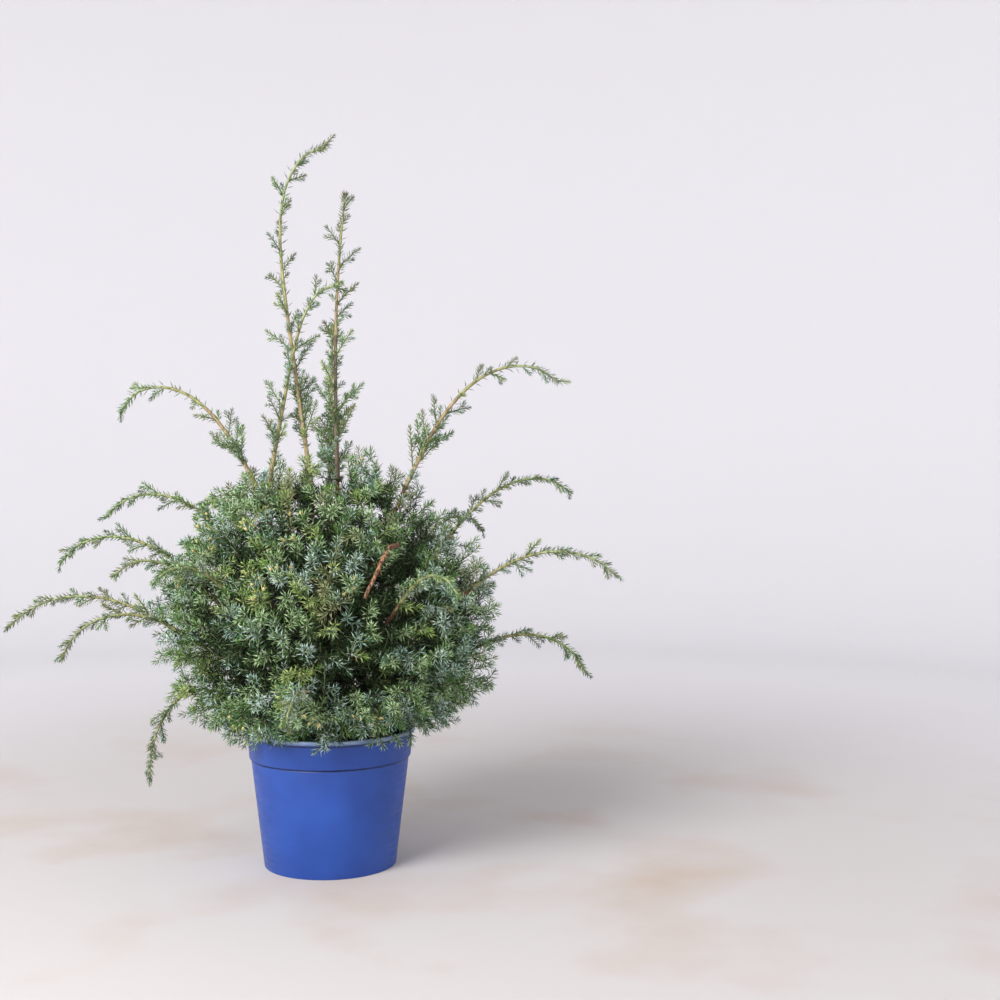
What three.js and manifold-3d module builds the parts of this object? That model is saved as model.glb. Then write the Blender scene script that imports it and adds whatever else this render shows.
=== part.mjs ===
// A young spreading juniper in a blue nursery pot, in millimetres, with +Z up.
// The origin is the middle of the pot's underside. -X is the side to which the long low shoots arch,
// and -Y is the front.
//
// The plant is a short leaning trunk, boughs that leave it all round, a dense lower crown made of
// several masses of needled twigs, and long leading shoots that arch out of that crown.
// Each mass and each shoot keeps to its own room: the points that are nearer to it than to any other.
import * as THREE from 'three';
import { mergeVertices } from 'three/addons/utils/BufferGeometryUtils.js';
import Module from 'manifold-3d';

const wasm = await Module();
wasm.setup();

// Gap that neighbouring solids keep.
const GAP = 0.3;

// Pot.
const POT = {
  height: 129,
  rimRadius: 80,
  lipHeight: 4.5,
  lipRound: 0.8,
  collarRadius: 77.6,
  collarTaper: 1.6,
  collarHeight: 27,
  collarStep: 1.6,
  footRadius: 62,
  footChamfer: 2,
  wall: 1.8,
  floor: 2.4,
  sides: 28,
  drainHoles: 6,
  drainRadius: 4.5,
  drainCircle: 50,
  drainSides: 6,
};

// Compost that fills the pot to a little below its rim.
const COMPOST = { top: 116, mound: 3, shoulder: 62, flat: 25, edgeDrop: 2.5, sides: 20 };

// Trunk, from its flat cut on the compost to its tip, where the tallest shoot starts.
const TRUNK = {
  foot: COMPOST.top + COMPOST.mound + GAP,
  tip: 352,
  leanX: -18,
  leanY: 8,
  bend: 4,
  footRadius: 6.2,
  flare: 3.4,
  flareHeight: 10,
  tipRadius: 2.0,
  footRings: [-3, 3, 10, 20],
  rings: 12,
  sides: 8,
};

// Dense lower crown: an egg-shaped outline about the pot's axis.
const CROWN = { centre: 205, radius: 168, below: 102, above: 194 };

// Boughs: where each leaves the trunk, its heading, and how far out and how high its tip is.
// Heading 0 is +X, 90 the back, 180 the side with the long arching shoots, and 270 the front.
const BOUGHS = [
  { name: 'bough_left_high', from: 215, heading: 176, out: 68, up: 352 },
  { name: 'bough_left_upper', from: 201, heading: 168, out: 116, up: 320 },
  { name: 'bough_left_middle', from: 182, heading: 189, out: 132, up: 277 },
  { name: 'bough_left_lower', from: 163, heading: 180, out: 150, up: 222 },
  { name: 'bough_left_skirt', from: 148, heading: 186, out: 128, up: 168 },
  { name: 'bough_top', from: 240, heading: 70, out: 16, up: 362 },
  { name: 'bough_right_high', from: 228, heading: -8, out: 72, up: 355 },
  { name: 'bough_right_upper', from: 206, heading: 14, out: 118, up: 312 },
  { name: 'bough_right_middle', from: 184, heading: -14, out: 138, up: 262 },
  { name: 'bough_right_lower', from: 160, heading: 5, out: 144, up: 205 },
  { name: 'bough_back_high', from: 221, heading: 97, out: 64, up: 356 },
  { name: 'bough_back_left', from: 192, heading: 132, out: 124, up: 295 },
  { name: 'bough_back_right', from: 187, heading: 55, out: 126, up: 285 },
  { name: 'bough_back_lower', from: 163, heading: 92, out: 144, up: 215 },
  { name: 'bough_front_left', from: 176, heading: 234, out: 134, up: 268 },
  { name: 'bough_front_right', from: 181, heading: 304, out: 132, up: 255 },
  { name: 'bough_front_lower', from: 156, heading: 268, out: 130, up: 182 },
];
const BOUGH = { baseRadius: 3.0, tipRadius: 1.8, rings: 4, sides: 5, rise: 0.22, spread: 0.5 };

// Leading shoots. Each grows from the tip of a bough or, with at below 1, from its side near the tip.
// Its pitch falls by droop degrees along its length, the later the higher late is, and bent says at
// which share of its length a shoot that arches over a wide gap is parted.
const SHOOTS = [
  { name: 'shoot_top', bough: 'trunk', at: 1, heading: 0,
    pitch: 98, droop: 92, late: 7, length: 350 },
  { name: 'shoot_top_second', bough: 'bough_top', at: 1, heading: 0,
    pitch: 92, droop: 9, late: 1.5, length: 274 },
  { name: 'shoot_left_arch', bough: 'bough_left_high', at: 1, heading: 179,
    pitch: 62, droop: 134, late: 2.8, length: 190, bent: 0.6 },
  { name: 'shoot_left_upright', bough: 'bough_left_high', at: 0.92, heading: -12,
    pitch: 79, droop: 90, late: 8, length: 236 },
  { name: 'shoot_left_upper', bough: 'bough_left_upper', at: 1, heading: 176,
    pitch: 40, droop: 95, late: 1.6, length: 122 },
  { name: 'shoot_left_middle', bough: 'bough_left_middle', at: 1, heading: 183,
    pitch: 40, droop: 98, late: 1.7, length: 134 },
  { name: 'shoot_left_short', bough: 'bough_left_middle', at: 0.9, heading: 204,
    pitch: 38, droop: 92, late: 2, length: 92 },
  { name: 'shoot_left_lower', bough: 'bough_left_lower', at: 1, heading: 178,
    pitch: 32, droop: 80, late: 1.5, length: 172 },
  { name: 'shoot_left_fork', bough: 'bough_left_lower', at: 0.9, heading: 200,
    pitch: 36, droop: 112, late: 1.5, length: 138 },
  { name: 'shoot_left_hanging', bough: 'bough_left_skirt', at: 1, heading: 183,
    pitch: -28, droop: 66, late: 0.8, length: 100 },
  { name: 'shoot_right_arch', bough: 'bough_right_high', at: 1, heading: -6,
    pitch: 64, droop: 112, late: 2.6, length: 205, bent: 0.58 },
  { name: 'shoot_right_upper', bough: 'bough_right_upper', at: 1, heading: 12,
    pitch: 48, droop: 92, late: 2, length: 140 },
  { name: 'shoot_right_middle', bough: 'bough_right_middle', at: 1, heading: -12,
    pitch: 38, droop: 84, late: 1.6, length: 150 },
  { name: 'shoot_right_lower', bough: 'bough_right_lower', at: 1, heading: 6,
    pitch: 22, droop: 92, late: 1.4, length: 118 },
  { name: 'shoot_back_high', bough: 'bough_back_high', at: 1, heading: 95,
    pitch: 74, droop: 92, late: 4, length: 218 },
  { name: 'shoot_back_left', bough: 'bough_back_left', at: 1, heading: 134,
    pitch: 46, droop: 98, late: 1.8, length: 144 },
  { name: 'shoot_back_right', bough: 'bough_back_right', at: 1, heading: 53,
    pitch: 44, droop: 90, late: 1.7, length: 132 },
  { name: 'shoot_back_lower', bough: 'bough_back_lower', at: 1, heading: 92,
    pitch: 26, droop: 96, late: 1.4, length: 126 },
  { name: 'shoot_front_left', bough: 'bough_front_left', at: 1, heading: 230,
    pitch: 40, droop: 88, late: 1.6, length: 84 },
  { name: 'shoot_front_right', bough: 'bough_front_right', at: 1, heading: 307,
    pitch: 42, droop: 94, late: 1.7, length: 102 },
  { name: 'shoot_front_lower', bough: 'bough_front_lower', at: 1, heading: 262,
    pitch: 16, droop: 70, late: 1.1, length: 70 },
];
const SHOOT = {
  seed: 131,
  step: 27,
  baseRadius: 1.8,
  tipRadius: 0.8,
  sides: 4,
  reach: 2,
  twigEvery: 18,
  firstTwig: 6,
  longTwig: 44,
  shortTwig: 14,
  twigWidth: 7.5,
  twigAngle: 46,
  manyNeedles: 24,
  unevenSpacing: 0.4,
  unevenLength: 0.4,
  unevenTurn: 40,
  shorter: [1, 0.7, 0.45],
  aside: [0, 60, -60, 150],
  clearOfParting: 0.25,
};

// Masses of the dense crown, in tiers round the trunk.
const TIERS = [
  { name: 'foliage_skirt', count: 5, heading: 274, out: 98, up: 160, twigs: 11 },
  { name: 'foliage_waist', count: 5, heading: 310, out: 98, up: 224, twigs: 12 },
  { name: 'foliage_shoulder', count: 4, heading: 274, out: 70, up: 290, twigs: 12 },
  { name: 'foliage_top', count: 2, heading: 200, out: 38, up: 348, twigs: 10 },
];
const MASS = {
  seed: 501,
  reach: 55,
  stemRadius: 1.8,
  stemSides: 4,
  stemClearance: 5.2,
  stemDrops: { first: 10, last: 140, step: 4, aboveFoot: 5 },
  stemAside: [0, 14, -14, 24, -24, 32, -32],
  stemAbove: [0, 14, -12],
  fringe: 22,
  hollow: 0.94,
  twigWidth: 9,
  rooted: 0.6,
  least: 12,
  widest: 78,
  unevenTurn: 30,
  leastCore: 4,
};

// Blades that stand out from a needled twig, larger than life: each stands for several needles.
const BLADE = { length: 15, shortest: 10, width: 4, angle: 44, sunk: 1.5, near: 0.5, far: 0.72 };
// A needled twig is a slim spindle that is widest at this share of its length.
const SWELL = 0.35;

// How closely twigs are tested against what they must stay clear of.
const TEST_STEP = 3;
const SLACK = 0.9;
// Edges shorter than this are merged away after a cut.
const SLIVER = 0.03;
const TURN = 137.508;

const UP = new THREE.Vector3(0, 0, 1);
const radians = THREE.MathUtils.degToRad;
const { lerp } = THREE.MathUtils;

// A repeatable random number from 0 to 1.
function seeded(seed) {
  let state = seed >>> 0;
  return () => {
    state = (state + 0x6d2b79f5) >>> 0;
    let t = state;
    t = Math.imul(t ^ (t >>> 15), t | 1);
    t ^= t + Math.imul(t ^ (t >>> 7), t | 61);
    return ((t ^ (t >>> 14)) >>> 0) / 4294967296;
  };
}

// Point at a heading, a distance from the pot's axis and a height.
function around(heading, out, up) {
  const turn = radians(heading);
  return new THREE.Vector3(Math.cos(turn) * out, Math.sin(turn) * out, up);
}

// Middle of the trunk at a height.
function trunkAt(height) {
  const share = (height - TRUNK.foot) / (TRUNK.tip - TRUNK.foot);
  const sway = TRUNK.bend * Math.sin(share * Math.PI * 2);
  return new THREE.Vector3(TRUNK.leanX * share + sway, TRUNK.leanY * share - sway, height);
}

function trunkRadius(height) {
  const above = height - TRUNK.foot;
  const share = above / (TRUNK.tip - TRUNK.foot);
  const flare = TRUNK.flare * Math.exp(-above / TRUNK.flareHeight);
  return TRUNK.footRadius + (TRUNK.tipRadius - TRUNK.footRadius) * share + flare;
}

function trunkLine() {
  const heights = TRUNK.footRings.map((above) => TRUNK.foot + above);
  const start = heights[heights.length - 1];
  for (let i = 1; i <= TRUNK.rings; i++) heights.push(start + ((TRUNK.tip - start) * i) / TRUNK.rings);
  return heights.map(trunkAt);
}

// A bough leaves the trunk at a slant, and turns up towards its tip.
function boughLine(bough) {
  const start = trunkAt(bough.from);
  const tip = around(bough.heading, bough.out, bough.up);
  const middle = start.clone().lerp(tip, BOUGH.spread);
  middle.z = start.z + (tip.z - start.z) * BOUGH.rise;
  return new THREE.QuadraticBezierCurve3(start, middle, tip).getPoints(BOUGH.rings);
}

// A shoot's line: its pitch falls as it goes, so that its end nods or hangs.
function shootLine(shoot, start) {
  const steps = Math.round(shoot.length / SHOOT.step) + 1;
  const step = shoot.length / steps;
  const turn = radians(shoot.heading);
  const points = [start.clone()];
  for (let i = 0; i < steps; i++) {
    const pitch = radians(shoot.pitch - shoot.droop * ((i + 0.5) / steps) ** shoot.late);
    const level = Math.cos(pitch) * step;
    const move = new THREE.Vector3(Math.cos(turn) * level, Math.sin(turn) * level, Math.sin(pitch) * step);
    points.push(points[i].clone().add(move));
  }
  return points;
}

function pointOnLine(line, share) {
  const place = share * (line.length - 1);
  const index = Math.min(Math.floor(place), line.length - 2);
  return line[index].clone().lerp(line[index + 1], place - index);
}

function directionOnLine(line, share) {
  const index = Math.min(Math.floor(share * (line.length - 1)), line.length - 2);
  return line[index + 1].clone().sub(line[index]).normalize();
}

function distanceToLine(point, line) {
  if (line.length === 1) return point.distanceTo(line[0]);
  const segment = new THREE.Line3();
  const nearest = new THREE.Vector3();
  let least = Infinity;
  for (let i = 0; i + 1 < line.length; i++) {
    segment.set(line[i], line[i + 1]).closestPointToPoint(point, true, nearest);
    least = Math.min(least, nearest.distanceTo(point));
  }
  return least;
}

// Two directions square to an axis, which a turn about that axis is measured from.
function squareTo(axis) {
  const reference = Math.abs(axis.z) > 0.9 ? new THREE.Vector3(1, 0, 0) : UP;
  const side = new THREE.Vector3().crossVectors(axis, reference).normalize();
  return [side, new THREE.Vector3().crossVectors(side, axis).normalize()];
}

// A direction that leans away from an axis by an angle, at a turn about it.
function leaning(axis, angle, turn) {
  const [side, other] = squareTo(axis);
  return axis.clone().multiplyScalar(Math.cos(radians(angle)))
    .addScaledVector(side, Math.sin(radians(angle)) * Math.cos(radians(turn)))
    .addScaledVector(other, Math.sin(radians(angle)) * Math.sin(radians(turn)));
}

// The limbs, as lines with a radius at each end, which foliage stays clear of.
const trunk = { name: 'trunk', line: trunkLine(), sides: TRUNK.sides };
trunk.radii = trunk.line.map((point) => trunkRadius(point.z));
const boughs = BOUGHS.map((bough) => {
  const line = boughLine(bough);
  const radii = line.map((_, i) => lerp(BOUGH.baseRadius, BOUGH.tipRadius, i / (line.length - 1)));
  return { ...bough, line, radii, sides: BOUGH.sides };
});
const limbs = [trunk, ...boughs];

// The foliage: shoots grow along a line, and a dense mass about a point.
const shoots = SHOOTS.map((shoot) => {
  const carrier = limbs.find((limb) => limb.name === shoot.bough);
  const line = shootLine(shoot, pointOnLine(carrier.line, shoot.at));
  return { ...shoot, carrier, line, reach: SHOOT.reach };
});
const masses = TIERS.flatMap((tier) => Array.from({ length: tier.count }, (_, i) => {
  const centre = around(tier.heading + (360 / tier.count) * i, tier.out, tier.up);
  return { ...tier, name: `${tier.name}_${i + 1}`, centre, line: [centre], reach: MASS.reach };
}));

// The shoots' bare stems, which tapering bars stand for.
const stems = shoots.map((shoot) => {
  const last = shoot.line.length - 1;
  const radii = shoot.line.map((_, i) => lerp(SHOOT.baseRadius, SHOOT.tipRadius, i / last));
  return { ...shoot, radii, sides: SHOOT.sides };
});

// A shoot that arches over a wide gap is parted at its bend into two nodes.
const shootParts = shoots.flatMap((shoot) => {
  const last = shoot.line.length - 1;
  const parted = shoot.bent ? Math.round(shoot.bent * last) : last;
  const lower = { ...shoot, first: 0, last: parted, line: shoot.line.slice(0, parted + 1), whole: shoot.line };
  if (parted === last) return [lower];
  const upper = { ...lower, name: `${shoot.name}_end`, first: parted, last, line: shoot.line.slice(parted) };
  return [lower, upper];
});
const sites = [...shootParts, ...masses];

// How far a point is outside the dense crown, at least.
function outsideCrown(point) {
  const half = point.z < CROWN.centre ? CROWN.below : CROWN.above;
  const times = Math.hypot(Math.hypot(point.x, point.y) / CROWN.radius, (point.z - CROWN.centre) / half);
  return (times - 1) * Math.min(half, CROWN.radius);
}

// How much room a point has before it leaves its owner's space. A mass owns nothing outside the crown.
function room(owner, point) {
  const own = distanceToLine(point, owner.line) - owner.reach;
  const outside = outsideCrown(point);
  let least = Infinity;
  for (const site of sites) {
    if (site === owner) continue;
    const between = (distanceToLine(point, site.line) - site.reach - own) / 2;
    least = Math.min(least, site.centre ? Math.max(between, outside) : between);
  }
  return least;
}

function clearOfLimbs(point, margin) {
  return limbs.every((limb) => distanceToLine(point, limb.line) > limb.radii[0] + margin);
}

function clearOfPot(point, margin) {
  const out = Math.hypot(point.x, point.y);
  if (out > POT.rimRadius + margin) return point.z > margin;
  if (out > POT.rimRadius - POT.lipHeight - margin) return point.z > POT.height + margin;
  return point.z > TRUNK.foot + margin;
}

// Whether a point is inside the dense crown, and further in than a fringe.
function insideCrown(point, fringe) {
  const half = (point.z < CROWN.centre ? CROWN.below : CROWN.above) - fringe;
  const across = Math.hypot(point.x, point.y) / (CROWN.radius - fringe);
  return across ** 2 + ((point.z - CROWN.centre) / half) ** 2 < 1;
}

// Whether a twig or blade from one point to another keeps to its owner's space and touches nothing.
function fits(owner, from, to, halfWidth) {
  const tests = Math.max(1, Math.ceil(from.distanceTo(to) / TEST_STEP));
  for (let i = 0; i <= tests; i++) {
    const point = from.clone().lerp(to, i / tests);
    if (room(owner, point) < halfWidth + GAP + SLACK) return false;
    if (!clearOfLimbs(point, halfWidth + GAP)) return false;
    if (!clearOfPot(point, halfWidth + GAP)) return false;
    if (owner.centre && !insideCrown(point, 0)) return false;
  }
  return true;
}

// Closed solid of a three.js geometry, with its shared vertices merged.
function solidOf(geometry) {
  const bare = geometry.clone();
  bare.deleteAttribute('normal');
  bare.deleteAttribute('uv');
  const merged = mergeVertices(bare, 1e-4);
  return new wasm.Manifold(new wasm.Mesh({
    numProp: 3,
    vertProperties: new Float32Array(merged.attributes.position.array),
    triVerts: new Uint32Array(merged.index.array),
  }));
}

// A round bar bent along a line, with a radius at each point of it and flat ends.
function barAlong(line, radii, sides) {
  const geometry = new THREE.CylinderGeometry(1, 1, 1, sides, line.length - 1);
  const place = geometry.attributes.position;
  const last = line.length - 1;
  const frames = [];
  let [side, other] = squareTo(directionOnLine(line, 0));
  for (let i = 0; i <= last; i++) {
    const before = line[Math.max(i - 1, 0)];
    const axis = line[Math.min(i + 1, last)].clone().sub(before).normalize();
    other = new THREE.Vector3().crossVectors(side, axis).normalize();
    side = new THREE.Vector3().crossVectors(axis, other).normalize();
    frames.push([side, other]);
  }
  for (let v = 0; v < place.count; v++) {
    const i = Math.round((place.getY(v) + 0.5) * last);
    const [across, over] = frames[i];
    const point = line[i].clone()
      .addScaledVector(across, place.getX(v) * radii[i])
      .addScaledVector(over, place.getZ(v) * radii[i]);
    place.setXYZ(v, point.x, point.y, point.z);
  }
  const solid = solidOf(geometry);
  if (solid.volume() > 0) return solid;
  throw new Error('a bar came out inside out');
}

// A limb's solid, made fatter by a margin, to cut others clear of it.
function limbSolid(limb, sides, margin) {
  return barAlong(limb.line, limb.radii.map((radius) => radius + margin), sides);
}

// A slim three-sided spindle from one point to another, pointed at both ends and widest where it swells.
function spindle(from, to, width, facing, swell) {
  const axis = to.clone().sub(from);
  const length = axis.length();
  axis.normalize();
  const widest = new THREE.Vector2(width / 2, swell * length);
  const shape = new THREE.LatheGeometry([new THREE.Vector2(0, 0), widest, new THREE.Vector2(0, length)], 3);
  const across = new THREE.Vector3().crossVectors(axis, facing).normalize();
  const over = new THREE.Vector3().crossVectors(across, axis).normalize();
  shape.applyMatrix4(new THREE.Matrix4().makeBasis(across, axis, over));
  shape.translate(from.x, from.y, from.z);
  return solidOf(shape);
}

// A needled twig, and blades beside it where they fit.
function needledTwig(owner, from, to, width, shares, bladeLength, turn) {
  const axis = to.clone().sub(from).normalize();
  const [side] = squareTo(axis);
  const made = [spindle(from, to, width, side, SWELL)];
  shares.forEach((share, i) => {
    const root = from.clone().lerp(to, share);
    const heading = leaning(axis, BLADE.angle, turn + TURN * i);
    const start = root.clone().addScaledVector(heading, -BLADE.sunk);
    const end = root.clone().addScaledVector(heading, bladeLength);
    if (fits(owner, root, end, BLADE.width / 2)) {
      made.push(spindle(start, end, BLADE.width, axis, 0.5));
    }
  });
  return made;
}

// Joins what touches, and drops slivers and any scrap that a cut has left loose.
function joined(solids) {
  const bodies = wasm.Manifold.union(solids).simplify(SLIVER).decompose();
  return bodies.reduce((largest, body) => (body.volume() > largest.volume() ? body : largest));
}

// Cuts a solid clear of limbs by the gap that neighbours keep.
function clearOf(neighbours, solid) {
  const cutters = neighbours.map((limb) => limbSolid(limb, limb.sides, GAP));
  return joined([solid.subtract(wasm.Manifold.union(cutters))]);
}

// The longest side twig at a place on a shoot, turned aside if need be, that keeps to its space.
function fittingTwig(part, share, fullLength, turn) {
  const root = pointOnLine(part.whole, share);
  const along = directionOnLine(part.whole, share);
  for (const shorter of SHOOT.shorter) {
    for (const aside of SHOOT.aside) {
      const length = fullLength * shorter;
      const end = root.clone().addScaledVector(leaning(along, SHOOT.twigAngle, turn + aside), length);
      if (fits(part, root, end, SHOOT.twigWidth / 3)) return { root, end, length };
    }
  }
  return null;
}

// A leading shoot: its stem, with side twigs that leave it turn by turn and shorten towards its end.
function shootSolid(part, index) {
  const chance = seeded(SHOOT.seed + index);
  const steps = part.whole.length - 1;
  const radii = part.line.map((_, i) => lerp(SHOOT.baseRadius, SHOOT.tipRadius, (part.first + i) / steps));
  const stemLine = part.line.map((point) => point.clone());
  if (part.first > 0) stemLine[0].addScaledVector(directionOnLine(stemLine, 0), GAP);
  const pieces = [barAlong(stemLine, radii, SHOOT.sides)];
  const count = Math.floor((part.length - SHOOT.firstTwig) / SHOOT.twigEvery);
  for (let i = 0; i <= count; i++) {
    const along = SHOOT.firstTwig + SHOOT.twigEvery * (i + SHOOT.unevenSpacing * chance());
    const share = Math.min(1, along / part.length);
    const uneven = 1 + SHOOT.unevenLength * (chance() - 0.5);
    const length = lerp(SHOOT.longTwig, SHOOT.shortTwig, share) * uneven;
    const turn = TURN * i + SHOOT.unevenTurn * chance();
    const place = share * steps;
    if (place < part.first + SHOOT.clearOfParting || place > part.last) continue;
    const twig = fittingTwig(part, share, length, turn);
    if (!twig) continue;
    const shares = twig.length > SHOOT.manyNeedles ? [BLADE.near, BLADE.far] : [BLADE.near];
    const blade = lerp(BLADE.length, BLADE.shortest, share);
    pieces.push(...needledTwig(part, twig.root, twig.end, SHOOT.twigWidth, shares, blade, turn));
  }
  return joined(pieces);
}

// How far from a point a direction runs before it leaves the owner's space or the crown.
function runOf(owner, start, direction, fringe, halfWidth) {
  let run = 0;
  while (run < 2 * CROWN.radius) {
    const point = start.clone().addScaledVector(direction, run + TEST_STEP / 2);
    if (!insideCrown(point, fringe) || room(owner, point) < halfWidth + GAP + SLACK) break;
    if (!clearOfPot(point, halfWidth + GAP)) break;
    run += TEST_STEP / 2;
  }
  return run;
}

// Whether two lines of bars stay apart by a distance, tested at points along the first.
function apart(from, to, line, distance) {
  for (let share = 0.06; share <= 1; share += 0.04) {
    if (distanceToLine(from.clone().lerp(to, share), line) < distance) return false;
  }
  return true;
}

// Stem of a mass, from the first height on the trunk and to the first place in the mass, beside or
// above its centre, between which it runs clear of boughs and of other stems.
function clearStem(mass, others) {
  const outward = new THREE.Vector3(mass.centre.x, mass.centre.y, 0).normalize();
  const beside = new THREE.Vector3().crossVectors(UP, outward);
  const { first, last, step, aboveFoot } = MASS.stemDrops;
  const ends = MASS.stemAside.flatMap((aside) => MASS.stemAbove.map((above) => [aside, above]));
  for (const [aside, above] of ends) {
    const end = mass.centre.clone().addScaledVector(beside, aside).addScaledVector(UP, above);
    for (let drop = first; drop < last; drop += step) {
      const from = trunkAt(Math.max(TRUNK.foot + aboveFoot, mass.up - drop));
      if (others.every((line) => apart(from, end, line, MASS.stemClearance))) return [from, end];
    }
  }
  throw new Error(`no clear stem for ${mass.name}`);
}

const massStems = [];
for (const mass of masses) {
  const others = [...boughs, ...stems, ...massStems].map((limb) => limb.line);
  const line = clearStem(mass, others);
  const radii = [MASS.stemRadius, MASS.stemRadius];
  massStems.push({ name: mass.name, line, radii, sides: MASS.stemSides });
}

// Faceted core of a mass, which fills its space up to a fringe inside the crown's outline. The
// vertices between a core's corners lie a little lower, so that its faces are uneven.
function coreSolid(mass) {
  const core = new THREE.IcosahedronGeometry(1, 1);
  const corners = new THREE.IcosahedronGeometry(1, 0).attributes.position;
  const corner = new THREE.Vector3();
  const place = core.attributes.position;
  for (let v = 0; v < place.count; v++) {
    const direction = new THREE.Vector3().fromBufferAttribute(place, v).normalize();
    let nearest = Infinity;
    for (let c = 0; c < corners.count; c++) {
      nearest = Math.min(nearest, corner.fromBufferAttribute(corners, c).normalize().distanceTo(direction));
    }
    const sink = nearest > 0.1 ? MASS.hollow : 1;
    const reach = sink * Math.max(MASS.leastCore, runOf(mass, mass.centre, direction, MASS.fringe, 0));
    const point = mass.centre.clone().addScaledVector(direction, reach);
    place.setXYZ(v, point.x, point.y, point.z);
  }
  return solidOf(core);
}

// A dense mass: its core, the stem that carries it, and needled twigs that stand out from its core to
// the crown's outline.
function massSolid(mass, index) {
  const chance = seeded(MASS.seed + index);
  const main = mass.centre.clone().sub(trunkAt(CROWN.centre)).normalize();
  const pieces = [coreSolid(mass)];
  for (let i = 0; i < mass.twigs; i++) {
    const turn = TURN * i + MASS.unevenTurn * chance();
    const angle = MASS.widest * Math.sqrt((i + 0.5) / mass.twigs);
    const heading = leaning(main, angle, turn);
    const run = runOf(mass, mass.centre, heading, 0, MASS.twigWidth / 3);
    const coreRun = Math.min(run, runOf(mass, mass.centre, heading, MASS.fringe, 0));
    if (run < coreRun + MASS.least) continue;
    const start = mass.centre.clone().addScaledVector(heading, coreRun * MASS.rooted);
    const end = mass.centre.clone().addScaledVector(heading, run);
    const tested = end.clone().addScaledVector(heading, -TEST_STEP);
    if (!fits(mass, start, tested, MASS.twigWidth / 3)) continue;
    pieces.push(...needledTwig(mass, start, end, MASS.twigWidth, [BLADE.far], BLADE.length, turn));
  }
  const ownStem = massStems.find((stem) => stem.name === mass.name);
  const otherStems = massStems.filter((stem) => stem !== ownStem);
  const body = clearOf([...boughs, ...stems, ...otherStems], joined(pieces));
  return clearOf(limbs, joined([body, limbSolid(ownStem, ownStem.sides, 0)]));
}

// Back from a solid to a three.js mesh.
function meshOf(name, solid, material) {
  const { vertProperties, triVerts } = solid.getMesh();
  const geometry = new THREE.BufferGeometry();
  geometry.setAttribute('position', new THREE.BufferAttribute(new Float32Array(vertProperties), 3));
  geometry.setIndex(new THREE.BufferAttribute(new Uint32Array(triVerts), 1));
  geometry.computeVertexNormals();
  const mesh = new THREE.Mesh(geometry, material);
  mesh.name = name;
  return mesh;
}

// Lathe about +Z from points of [radius, height].
function turned(profile, sides) {
  const points = profile.map(([radius, height]) => new THREE.Vector2(radius, height));
  const lathe = new THREE.LatheGeometry(points, sides);
  lathe.rotateX(Math.PI / 2);
  return solidOf(lathe);
}

// The collar's foot and the radius above its step.
const COLLAR_FOOT = POT.height - POT.collarHeight;
const COLLAR_RADIUS = POT.collarRadius - POT.collarTaper;

// Radius of the pot's outside below its collar, at a height.
function bodyRadius(height) {
  return lerp(POT.footRadius, COLLAR_RADIUS - POT.collarStep, height / COLLAR_FOOT);
}

// The pot's wall, collar and lip as one closed profile, with drain holes through its floor.
function potSolid() {
  const lipFoot = POT.height - POT.lipHeight;
  const profile = [
    [0, 0],
    [POT.footRadius - POT.footChamfer, 0],
    [bodyRadius(POT.footChamfer), POT.footChamfer],
    [bodyRadius(COLLAR_FOOT), COLLAR_FOOT],
    [COLLAR_RADIUS, COLLAR_FOOT + POT.collarStep],
    [POT.collarRadius, lipFoot],
    [POT.rimRadius, lipFoot + POT.lipRound / 2],
    [POT.rimRadius, POT.height - POT.lipRound],
    [POT.rimRadius - POT.lipRound, POT.height],
    [POT.collarRadius - POT.wall, POT.height],
    [COLLAR_RADIUS - POT.wall, COLLAR_FOOT + POT.collarStep],
    [bodyRadius(COLLAR_FOOT) - POT.wall, COLLAR_FOOT - 1],
    [bodyRadius(POT.floor) - POT.wall, POT.floor],
    [0, POT.floor],
  ];
  const holes = Array.from({ length: POT.drainHoles }, (_, i) => {
    const middle = around((360 / POT.drainHoles) * (i + 0.5), POT.drainCircle, POT.floor / 2);
    const { drainRadius, floor, drainSides } = POT;
    const hole = new THREE.CylinderGeometry(drainRadius, drainRadius, 2 * floor, drainSides);
    hole.rotateX(Math.PI / 2);
    hole.translate(middle.x, middle.y, middle.z);
    return solidOf(hole);
  });
  return turned(profile, POT.sides).subtract(wasm.Manifold.union(holes));
}

// Compost that follows the pot's inside, mounded a little round the trunk's foot.
function compostSolid() {
  const bottom = POT.floor + GAP;
  const clear = POT.wall + 2 * GAP;
  const profile = [
    [0, bottom],
    [bodyRadius(POT.floor) - clear, bottom],
    [bodyRadius(COLLAR_FOOT) - clear, COLLAR_FOOT - 1],
    [COLLAR_RADIUS - clear, COLLAR_FOOT + POT.collarStep],
    [COLLAR_RADIUS - clear, COMPOST.top - COMPOST.edgeDrop],
    [COMPOST.shoulder, COMPOST.top],
    [COMPOST.flat, COMPOST.top + COMPOST.mound],
    [0, COMPOST.top + COMPOST.mound],
  ];
  return turned(profile, COMPOST.sides);
}

function material(name, color, roughness) {
  return new THREE.MeshStandardMaterial({ name, color, roughness, metalness: 0 });
}

const bluePlastic = material('pot_plastic', 0x2f55b4, 0.45);
const earth = material('compost', 0x3a281c, 1);
const bark = material('bark', 0x7a5238, 0.9);
const blueGreen = material('crown_needles', 0x5d7d68, 0.7);
const freshGreen = material('shoot_needles', 0x7f9650, 0.7);

const pottery = new THREE.Group();
pottery.add(meshOf('pot', potSolid(), bluePlastic));
pottery.add(meshOf('compost', compostSolid(), earth));

const wood = new THREE.Group();
wood.add(meshOf('trunk', limbSolid(trunk, TRUNK.sides, 0).trimByPlane([0, 0, 1], TRUNK.foot), bark));

boughs.forEach((bough, index) => {
  const solid = clearOf([trunk, ...boughs.slice(0, index)], limbSolid(bough, BOUGH.sides, 0));
  wood.add(meshOf(bough.name, solid, bark));
});

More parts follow.
